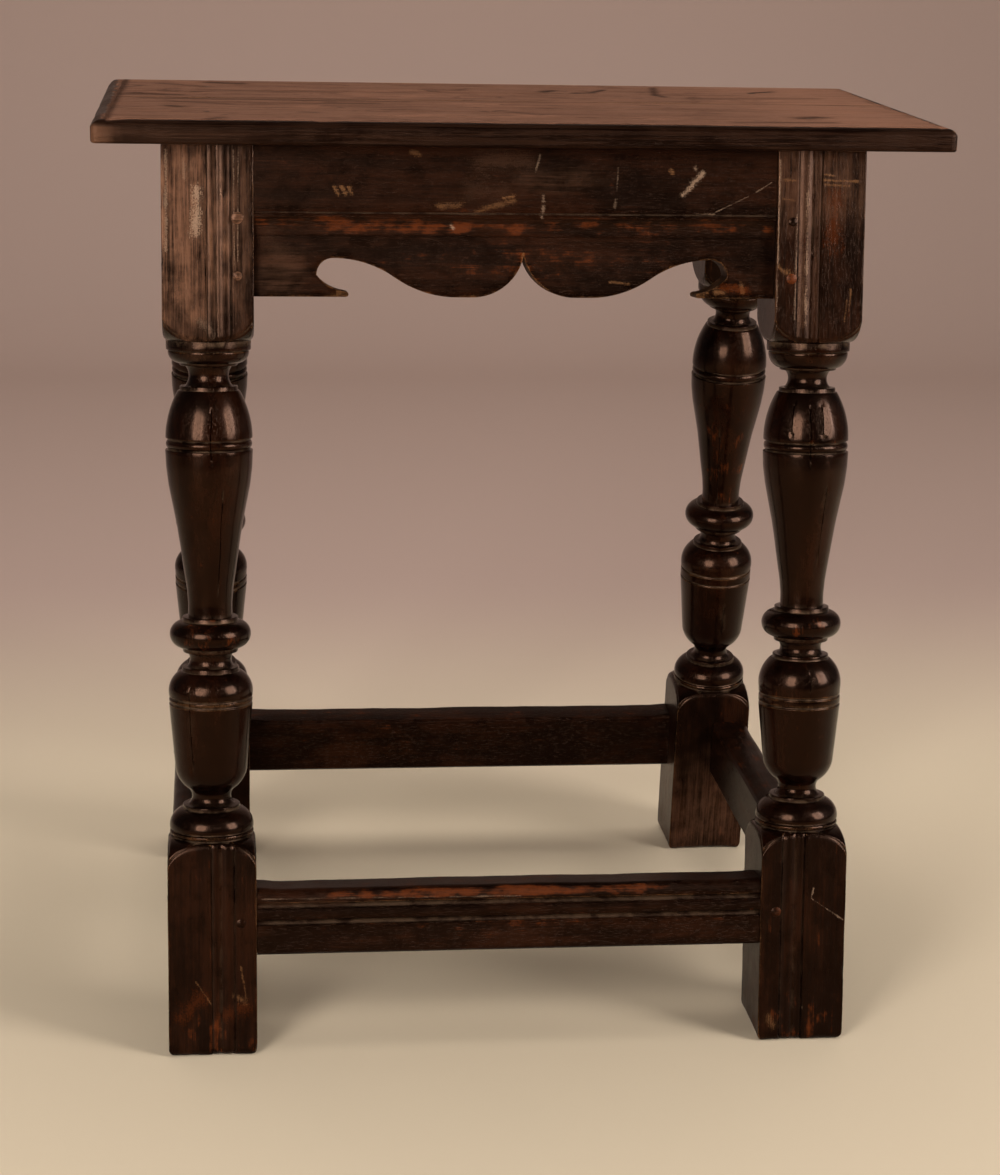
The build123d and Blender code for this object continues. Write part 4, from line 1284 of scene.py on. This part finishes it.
def stretcher_mesh(slope, seed, wear, hollowed):
    """A low stretcher in its own plane, its nosing worn by feet and its top hollowed to the back."""
    base = member_base(slope, STRETCHER_BOTTOM)
    top = base + STRETCHER_HEIGHT
    face = MEMBER_RECESS - HALF_LEG
    back = face + MEMBER_THICKNESS
    run = [Vector((back - STRETCHER_ARRIS, base)), Vector((face + STRETCHER_ARRIS, base)),
           Vector((face, base + STRETCHER_ARRIS))]
    run += arc_points(run[-1], (face, base + GROOVES[0][0]), 0.0, 4.0)
    for (start, width, depth), after in zip(GROOVES, (GROOVES[1][0], STRETCHER_HEIGHT - NOSING)):
        run += arc_points(run[-1], (face, base + start + width), depth, 0.8)
        run += arc_points(run[-1], (face, base + after), -BEAD_SWELL if after == GROOVES[1][0] else 0.0, 2.0)
    run += arc_points(run[-1], (face + NOSING, top), -NOSING * (1 - math.sqrt(0.5)), 0.9)
    run += arc_points(run[-1], (back - STRETCHER_ARRIS, top), 0.0, 4.0)
    run.append(Vector((back, top - STRETCHER_ARRIS)))
    run += arc_points(run[-1], (back, base + STRETCHER_ARRIS), 0.0, 4.0)
    run = softened(run + [run[0]], SOFT_CORNER)[:-1]
    bm = bmesh.new()
    end = bm.faces.new([bm.verts.new((0.0, p.x, p.y)) for p in run])
    reach = member_end(slope, base)
    made = bmesh.ops.extrude_face_region(bm, geom=[end])
    moved = [v for v in made["geom"] if isinstance(v, bmesh.types.BMVert)]
    bmesh.ops.translate(bm, vec=(reach, 0, 0), verts=moved)
    for v in bm.verts:
        v.co.x = math.copysign(member_end(slope, v.co.z), v.co.x - reach / 2)
    slice_up(bm, 0, spread(-reach, reach, wear.pitch / MM))
    wave = wear.waviness / MM
    middle_y, middle_z = (face + back) / 2, (base + top) / 2
    for v in bm.verts:
        shrink = 0.5 + 0.5 * waver((v.co.x, v.co.y * 0.4, v.co.z * 0.4), 34.0, seed)
        v.co.y -= math.copysign(wave * shrink, v.co.y - middle_y)
        up = smooth_step(base + STRETCHER_HEIGHT * 0.72, top, v.co.z)
        tread = TREAD_WEAR + TREAD_WEAR * waver((v.co.x, 0, 0), 47.0, seed + 2)
        tread += 0.15 * waver((v.co.x, 0, 0), 9.0, seed + 5)
        near_end = smooth_step(0.0, 14.0, reach - abs(v.co.x))
        v.co.z -= up * max(0.0, tread) * near_end
        if v.co.y < middle_y:
            v.co.y += up * max(0.0, FACE_WEAR * waver((v.co.x, 5, 0), 21.0, seed + 3)) * near_end
        if hollowed:
            v.co.z -= up * near_end * hollowed * smooth_step(middle_y, back, v.co.y)
        if v.co.z < middle_z:
            v.co.z += 0.2 * wave * waver(v.co, 30.0, seed)
    return bm


class STOOL_OT_make_stretchers(Operator):
    """Mould the four low stretchers that tie the feet"""

    bl_idname = "stool.make_stretchers"
    bl_label = "Make stretchers"

    def execute(self, context):
        wear = context.scene.stool_wear
        lean = math.tan(SPLAY)
        nosing = member_base(0.0, STRETCHER_BOTTOM) + STRETCHER_HEIGHT - 3
        tread = Patch(0, -10, nosing + 5, 400, 14, 6, 0.3)
        long_glow = (tread, Patch(0, -23, nosing - 1, 130, 6, 4, 0.8),
                     Patch(-20, -22, nosing - 22, 60, 6, 8, 0.3))
        for name, placement, slope, material, seed, hollowed in (
            ("stretcher_front", FRONT_PLANE, 0.0, "tread_oak", 9, 0.0),
            ("stretcher_back", HALF_TURN @ FRONT_PLANE, 0.0, "planed_oak", 10, 0.8),
            ("stretcher_right", RIGHT_PLANE, lean, "planed_oak", 11, 2.0),
            ("stretcher_left", HALF_TURN @ RIGHT_PLANE, lean, "planed_oak", 12, 1.2),
        ):
            bm = stretcher_mesh(slope, seed, wear, hollowed)
            finish_piece(bm, name, placement, [material], seed, grain="X",
                         glow=long_glow if slope == 0 else (tread,))
        return {"FINISHED"}


# ---------------------------------------------------------------- top

FASCIA_HEIGHT = 8.9
THUMB_WIDTH = 8.6
THUMB_QUIRK = 0.7
THUMB_SWELL = 1.7
TOP_CORNER = 4.0
TOP_LOWER_ARRIS = 1.6
TOP_RIM = 9.5  # how far in from the edge of the top its moulding has kept its wax
BOARD_GAP = 0.05  # from the joint line to each board
JOINT_ARRIS = 0.9
SPLIT_SIDE = 0.8  # from the middle of a split to each side of it
EDGE_WEAR_REACH = 3.0
JOINT_WEAR = 0.9
BOARD_HOLLOWS = 0.35
BOARD_RIDGES = 0.14
SPLIT_WANDER = 1.4
Split = namedtuple("Split", "y low high depth")
TOP_SPLITS = (
    Split(-96.0, -150, 140, 0.8), Split(-60.0, -225, -40, 1.0), Split(-34.0, -20, 190, 0.8),
    Split(62.0, -190, 30, 0.9), Split(86.0, 40, 120, 1.2), Split(112.0, -60, 205, 0.8),
)


def top_mesh():
    """The whole top with its moulded edge, still one board."""
    bm = bmesh.new()
    bmesh.ops.create_cube(bm, size=1.0)
    bmesh.ops.scale(bm, vec=(TOP_LENGTH, TOP_WIDTH, FASCIA_HEIGHT), verts=bm.verts)
    bmesh.ops.translate(bm, vec=(0, 0, LEG_HEIGHT + FASCIA_HEIGHT / 2), verts=bm.verts)
    lower = [e for e in bm.edges if all(v.co.z < LEG_HEIGHT + 0.01 for v in e.verts)]
    bevel(bm, lower, TOP_LOWER_ARRIS, 3)
    cap = max(bm.faces, key=lambda f: f.calc_center_median().z)
    rise = TOP_THICKNESS - FASCIA_HEIGHT
    curve = arc_points((0.0, 0.0), (THUMB_WIDTH, rise - THUMB_QUIRK), -THUMB_SWELL, 1.0)
    curve += [Vector((THUMB_WIDTH + 0.15, rise - 0.12)), Vector((THUMB_WIDTH + 0.5, rise))]
    at = Vector((0.0, 0.0))
    for point in curve:
        step = point - at
        bmesh.ops.inset_region(bm, faces=[cap], thickness=step.x, depth=step.y, use_even_offset=True)
        at = point
    slice_up(bm, 0, spread(-TOP_LENGTH / 2, TOP_LENGTH / 2, 4.6))
    slice_up(bm, 1, spread(-TOP_WIDTH / 2, TOP_WIDTH / 2, 4.2))
    ends = [(0, TOP_LENGTH / 2 - TOP_CORNER), (1, TOP_WIDTH / 2 - TOP_CORNER)]
    for axis, inner in ends:
        for part in (0.0, 0.3, 0.6, 0.85):
            place = inner + TOP_CORNER * part
            slice_up(bm, axis, (-place, place))
    for v in bm.verts:
        out = Vector([abs(v.co[axis]) - inner for axis, inner in ends])
        if min(out) > 0.01:
            rounded = out * (max(out) / out.length)
            v.co.x = math.copysign(ends[0][1] + rounded.x, v.co.x)
            v.co.y = math.copysign(ends[1][1] + rounded.y, v.co.y)
    return bm


def weather_board(bm, seed):
    """Wears splits, hollows and a ragged edge into a board."""
    for split in TOP_SPLITS:
        low, high = min(v.co.y for v in bm.verts), max(v.co.y for v in bm.verts)
        if low + 3 < split.y < high - 3:
            for step in (-SPLIT_SIDE, 0.0, SPLIT_SIDE):
                cut(bm, (0, split.y + step, 0), (0, 1, 0))
    surface = STOOL_HEIGHT - 0.05
    for v in bm.verts:
        x, y, z = v.co
        if z > surface:
            if abs(y - BOARD_JOINT) < 0.2:
                v.co.z -= JOINT_WEAR + 0.5 * waver((x, 0, 0), 30.0, seed)
            v.co.z -= BOARD_HOLLOWS * (0.5 + 0.5 * waver((x * 0.35, y, 0), 22.0, seed))
            v.co.z -= BOARD_RIDGES * (0.5 + 0.5 * waver((x * 0.2, y, 0), 5.0, seed + 1))
            for split in TOP_SPLITS:
                if abs(y - split.y) < 0.2 and split.low < x < split.high:
                    v.co.z -= split.depth * min(1.0, 5 * min(x - split.low, split.high - x)
                                                / (split.high - split.low))
        for split in TOP_SPLITS:
            near = max(0.0, 1 - abs(y - split.y) / 4)
            v.co.y += SPLIT_WANDER * near * waver((x, 0, 0), 34.0, split.y)
        end_x = TOP_LENGTH / 2 - abs(x)
        end_y = TOP_WIDTH / 2 - abs(y)
        edge = min(end_x, end_y)
        if edge < EDGE_WEAR_REACH:
            worn = max(0.0, waver((x, y, 0), 15.0, seed + 4)) * 0.9
            worn += max(0.0, waver((x, y, 0), 4.5, seed)) * 0.4
            worn *= smooth_step(EDGE_WEAR_REACH, 0.0, edge) if edge > 0 else 1.0
            if end_y <= end_x:
                v.co.y -= math.copysign(worn, y)
            else:
                v.co.x -= math.copysign(worn, x)


class STOOL_OT_make_top(Operator):
    """Plane the two top boards, with a thumb moulding round their outer edge"""

    bl_idname = "stool.make_top"
    bl_label = "Make top"

    def execute(self, context):
        front = -TOP_WIDTH / 2
        edges = (
            Patch(0, front, STOOL_HEIGHT - 6, TOP_LENGTH, TOP_RIM, 30, 1.0),
            Patch(0, -front, STOOL_HEIGHT - 6, TOP_LENGTH, TOP_RIM, 30, 1.0),
            Patch(-TOP_LENGTH / 2, 0, STOOL_HEIGHT - 6, TOP_RIM, TOP_WIDTH, 30, 1.0),
            Patch(TOP_LENGTH / 2, 0, STOOL_HEIGHT - 6, TOP_RIM, TOP_WIDTH, 30, 1.0),
        )
        corner = (
            Patch(-TOP_LENGTH / 2, front, LEG_HEIGHT + 5, 15, 8, 7, 0.8),
            Patch(-TOP_LENGTH / 2 + 45, front, LEG_HEIGHT + 5, 60, 4, 9, 0.06),
        )
        for name, material, side, seed, worn in (
            ("top_board_front", "front_board_oak", 1, 13, corner),
            ("top_board_back", "back_board_oak", -1, 14, ()),
        ):
            bm = top_mesh()
            cut(bm, (0, BOARD_JOINT - side * BOARD_GAP, 0), (0, side, 0), clear=True)
            cut(bm, (0, BOARD_JOINT - side * JOINT_ARRIS, 0), (0, side, 0))
            weather_board(bm, seed)
            finish_piece(bm, name, Matrix.Identity(4), [material], seed, grain="X",
                         bloom=worn, glow=edges)
        return {"FINISHED"}


# ---------------------------------------------------------------- pegs

PEG_RADIUS = 3.8
TOP_PEG_RADIUS = 4.0
PEG_SETBACK = 9.2
RAIL_PEG_HEIGHTS = (11.5, 43.5)
PEG_SHOWN = 12.0  # length that the dressed pegs have
PEG_SIDES = 14
PEG_TAPER = 0.9  # radius at the inner end, as a share of that at the head
PEG_PROUD = 0.15
TOP_PEG_SUNK = 0.95
PEG_DOME = ((0.5, 0.25), (0.9, 0.3), (0.9, 0.15))  # inset and rise of each ring of the head
TOP_PEG_INSET = 14.0


def add_peg(group, centre, outward, radius, seed):
    """Adds a whittled peg with a domed head, driven in along -outward from centre."""
    bm = bmesh.new()
    bmesh.ops.create_cone(bm, cap_ends=True, segments=PEG_SIDES,
                          radius1=radius * PEG_TAPER, radius2=radius, depth=PEG_SHOWN)
    head = max(bm.faces, key=lambda f: f.calc_center_median().z)
    for thickness, depth in PEG_DOME:
        bmesh.ops.inset_region(bm, faces=[head], thickness=thickness, depth=depth, use_even_offset=True)
    for v in bm.verts:
        turn = math.atan2(v.co.y, v.co.x)
        whittled = 1 + 0.10 * waver((math.cos(turn) * 2, math.sin(turn) * 2, 0), 2.0, seed)
        v.co = (v.co.x * whittled, v.co.y * whittled, v.co.z + 0.12 * waver(v.co, 2.5, seed))
    turn = Vector(outward).to_track_quat("Z", "Y").to_matrix().to_4x4()
    place = Matrix.Translation(centre) @ turn @ Matrix.Translation((0, 0, PEG_PROUD - PEG_SHOWN / 2))
    bmesh.ops.transform(bm, matrix=place, verts=bm.verts)
    peg = bpy.data.meshes.new("peg")
    bm.to_mesh(peg)
    bm.free()
    group.from_mesh(peg)
    bpy.data.meshes.remove(peg)


PEG_BLOOM = {"pegs_rail_front": (Patch(-156, -25, 460, 20, 20, 60, 1.0),)}
PEG_GLOW = {
    "pegs_rail_front": (Patch(156, -25, 448, 10, 10, 10, 1.0),),
    "pegs_stretcher_front": (Patch(156, -25, 78, 10, 10, 10, 0.4),),
}


def peg_group(name, placement, slope, base, heights, seed):
    """Makes the pegs at both ends of one rail or stretcher, whose heads differ in size."""
    bm = bmesh.new()
    for height in heights:
        z = base + height
        for end in (-1, 1):
            x = end * (member_end(slope, z) + PEG_SETBACK)
            seed += 1
            shown = PEG_RADIUS * (0.7 + 0.1 * (seed % 3))
            add_peg(bm, (x, -HALF_LEG, z), (0, -1, 0), shown, seed)
    finish_piece(bm, name, placement, ["peg_oak"], seed, grain="X", bloom=PEG_BLOOM.get(name, ()),
                 glow=PEG_GLOW.get(name, ()))


class STOOL_OT_make_pegs(Operator):
    """Drive the oak pegs that hold every joint and the top"""

    bl_idname = "stool.make_pegs"
    bl_label = "Make pegs"

    def execute(self, context):
        lean = math.tan(SPLAY)
        sides = (("front", FRONT_PLANE, 0.0), ("back", HALF_TURN @ FRONT_PLANE, 0.0),
                 ("right", RIGHT_PLANE, lean), ("left", HALF_TURN @ RIGHT_PLANE, lean))
        for i, (side, placement, slope) in enumerate(sides):
            rail_base = member_base(slope, LEG_HEIGHT - RAIL_HEIGHT)
            peg_group(f"pegs_rail_{side}", placement, slope, rail_base, RAIL_PEG_HEIGHTS, 20 + 5 * i)
            foot_base = member_base(slope, STRETCHER_BOTTOM)
            peg_group(f"pegs_stretcher_{side}", placement, slope, foot_base, (STRETCHER_HEIGHT / 2,),
                      50 + 5 * i)
        bm = bmesh.new()
        for end in (-1, 1):
            for side in (-1, 1):
                centre = (FRAME_SHIFT + end * LEG_SPACING / 2, side * (HEAD_SPREAD / 2 - TOP_PEG_INSET),
                          STOOL_HEIGHT - TOP_PEG_SUNK)
                add_peg(bm, centre, (0, 0, 1), TOP_PEG_RADIUS, 70 + end + 2 * side)
        finish_piece(bm, "pegs_top", Matrix.Identity(4), ["front_board_oak"], 15,
                     glow=(Patch(0, 0, STOOL_HEIGHT, 900, 900, 900, 0.6),))
        return {"FINISHED"}


# ---------------------------------------------------------------- stage

FRAME_PIXELS = (1000, 1175)
FOCAL_PIXELS = 2624.0
OPTICAL_SHIFT = (-8.0, -32.5)  # pixels
SENSOR = 36.0  # millimetres, along the longer side of the frame
CAMERA_PLACE = (-0.17407, -1.58374, 0.66783)
CAMERA_TURN = (-0.11418, -0.25606, 0.02236)  # heading, pitch below the level and roll
STAGE_SIZE = 7.0  # this and the places and sizes below are in metres
BACKDROP_FADE = (0.2, 0.9)
BACKDROP_DISTANCE = 1.9
BACKDROP_BEND = 0.7
BEND_STEPS = 20
LEFT_LAMP = (-1.15, -1.80, 0.97)
RIGHT_LAMP = (1.65, -1.11, 1.00)
SOFT_BOX = (0.68, 1.26)
GLOSS_BOX = (0.90, 1.00)
CEILING_LAMP = (0.0, 0.5, 2.8)
CEILING_BOX = (2.4, 2.4)
ROOM_TINT = (1.0, 0.97, 0.93, 1.0)


def plain_material(name, floor, backdrop):
    """A dull even colour that turns from the floor's to the backdrop's behind the stool."""
    s = Shader(name)
    place = s.node("ShaderNodeTexCoord", output="Object")
    depth = s.node("ShaderNodeSeparateXYZ", {}, {0: place}, output="Y")
    tone = s.mix(s.step(depth, *BACKDROP_FADE), floor, backdrop)
    return s.surface(colour=tone, roughness=1.0, specular=0.0)


def soft_lamp(name, place, target, size, power, diffuse=True, gloss=True):
    """A soft box, wide and high as size says, that faces its target."""
    light = bpy.data.lights.new(name, "AREA")
    light.shape = "RECTANGLE"
    light.size, light.size_y = size
    light.energy = power
    lamp = bpy.data.objects.new(name, light)
    bpy.context.scene.collection.objects.link(lamp)
    lamp.visible_camera = False
    lamp.visible_diffuse = diffuse
    lamp.visible_glossy = gloss
    away = Vector(place) - Vector(target)
    lamp.matrix_world = Matrix.Translation(place) @ away.to_track_quat("Z", "Y").to_matrix().to_4x4()


class STOOL_OT_set_stage(Operator):
    """Set the camera, the soft lamps, the pale floor and its curved backdrop"""

    bl_idname = "stool.set_stage"
    bl_label = "Set stage"

    def execute(self, context):
        scene = context.scene
        studio = scene.stool_studio
        camera = bpy.data.cameras.new("camera")
        camera.sensor_width = SENSOR
        camera.lens = FOCAL_PIXELS / FRAME_PIXELS[1] * SENSOR
        camera.shift_x = OPTICAL_SHIFT[0] / FRAME_PIXELS[1]
        camera.shift_y = OPTICAL_SHIFT[1] / FRAME_PIXELS[1]
        viewer = bpy.data.objects.new("camera", camera)
        scene.collection.objects.link(viewer)
        heading, pitch, roll = CAMERA_TURN
        viewer.matrix_world = (Matrix.Translation(CAMERA_PLACE) @ Matrix.Rotation(heading, 4, "Z")
                               @ Matrix.Rotation(math.pi / 2 + pitch, 4, "X") @ Matrix.Rotation(roll, 4, "Z"))
        scene.camera = viewer
        scene.view_settings.view_transform = "Standard"

        bm = bmesh.new()
        half = STAGE_SIZE / 2
        edge = [bm.verts.new((-half, y, 0)) for y in (-half, BACKDROP_DISTANCE)]
        bm.edges.new(edge)
        turned = bmesh.ops.spin(bm, geom=[edge[1]], cent=(0, BACKDROP_DISTANCE, BACKDROP_BEND),
                                axis=(1, 0, 0), dvec=(0, 0, 0), angle=math.pi / 2, steps=BEND_STEPS)
        last = [v for v in turned["geom_last"] if isinstance(v, bmesh.types.BMVert)][0]
        wall = bmesh.ops.extrude_vert_indiv(bm, verts=[last])
        bmesh.ops.translate(bm, vec=(0, 0, STAGE_SIZE / 2), verts=wall["verts"])
        made = bmesh.ops.extrude_edge_only(bm, edges=bm.edges[:])
        moved = [v for v in made["geom"] if isinstance(v, bmesh.types.BMVert)]
        bmesh.ops.translate(bm, vec=(STAGE_SIZE, 0, 0), verts=moved)
        bmesh.ops.recalc_face_normals(bm, faces=bm.faces)
        mesh = bpy.data.meshes.new("floor")
        bm.to_mesh(mesh)
        bm.free()
        mesh.polygons.foreach_set("use_smooth", [True] * len(mesh.polygons))
        mesh.materials.append(plain_material("studio_floor", studio.floor, studio.backdrop))
        floor = bpy.data.objects.new("floor", mesh)
        scene.collection.objects.link(floor)

        world = bpy.data.worlds.new("studio_air")
        world.use_nodes = True
        background = world.node_tree.nodes["Background"]
        background.inputs["Color"].default_value = ROOM_TINT
        background.inputs["Strength"].default_value = studio.fill
        scene.world = world
        middle = (0.0, 0.0, STOOL_HEIGHT * MM / 2)
        soft_lamp("lamp_left", LEFT_LAMP, middle, SOFT_BOX, studio.left_power)
        soft_lamp("lamp_right", RIGHT_LAMP, middle, SOFT_BOX, studio.right_power)
        soft_lamp("lamp_left_gloss", LEFT_LAMP, middle, GLOSS_BOX, studio.gloss_power, diffuse=False)
        soft_lamp("lamp_right_gloss", RIGHT_LAMP, middle, GLOSS_BOX, studio.gloss_power, diffuse=False)
        soft_lamp("lamp_above", CEILING_LAMP, middle, CEILING_BOX, studio.ceiling_power, gloss=False)
        return {"FINISHED"}


# ---------------------------------------------------------------- sidebar and start


class STOOL_PT_sidebar(Panel):
    """Lists the steps that build the stool"""

    bl_idname = "STOOL_PT_sidebar"
    bl_label = "Joint Stool"
    bl_space_type = "VIEW_3D"
    bl_region_type = "UI"
    bl_category = "Joint Stool"

    def draw(self, context):
        for group in (context.scene.stool_wear, context.scene.stool_finish, context.scene.stool_studio):
            box = self.layout.box()
            for name in group.__annotations__:
                box.prop(group, name)
        for operator in OPERATORS:
            self.layout.operator(operator.bl_idname)


OPERATORS = (
    STOOL_OT_set_stage,
    STOOL_OT_make_legs,
    STOOL_OT_make_long_rails,
    STOOL_OT_make_side_rails,
    STOOL_OT_make_stretchers,
    STOOL_OT_make_top,
    STOOL_OT_make_pegs,
)
SETTINGS = {"stool_wear": StoolWear, "stool_finish": StoolFinish, "stool_studio": StoolStudio}


def register():
    """Registers the settings, the operators and the panel."""
    for group in SETTINGS.values():
        bpy.utils.register_class(group)
    for name, group in SETTINGS.items():
        setattr(bpy.types.Scene, name, PointerProperty(type=group))
    for item in (*OPERATORS, STOOL_PT_sidebar):
        bpy.utils.register_class(item)


def unregister():
    """Takes back what register has done."""
    for item in (STOOL_PT_sidebar, *reversed(OPERATORS)):
        bpy.utils.unregister_class(item)
    for name, group in SETTINGS.items():
        delattr(bpy.types.Scene, name)
        bpy.utils.unregister_class(group)


def main():
    """Builds the stool and its stage."""
    register()
    for operator in OPERATORS:
        category, name = operator.bl_idname.split(".")
        getattr(getattr(bpy.ops, category), name)()


if __name__ == "__main__":
    main()
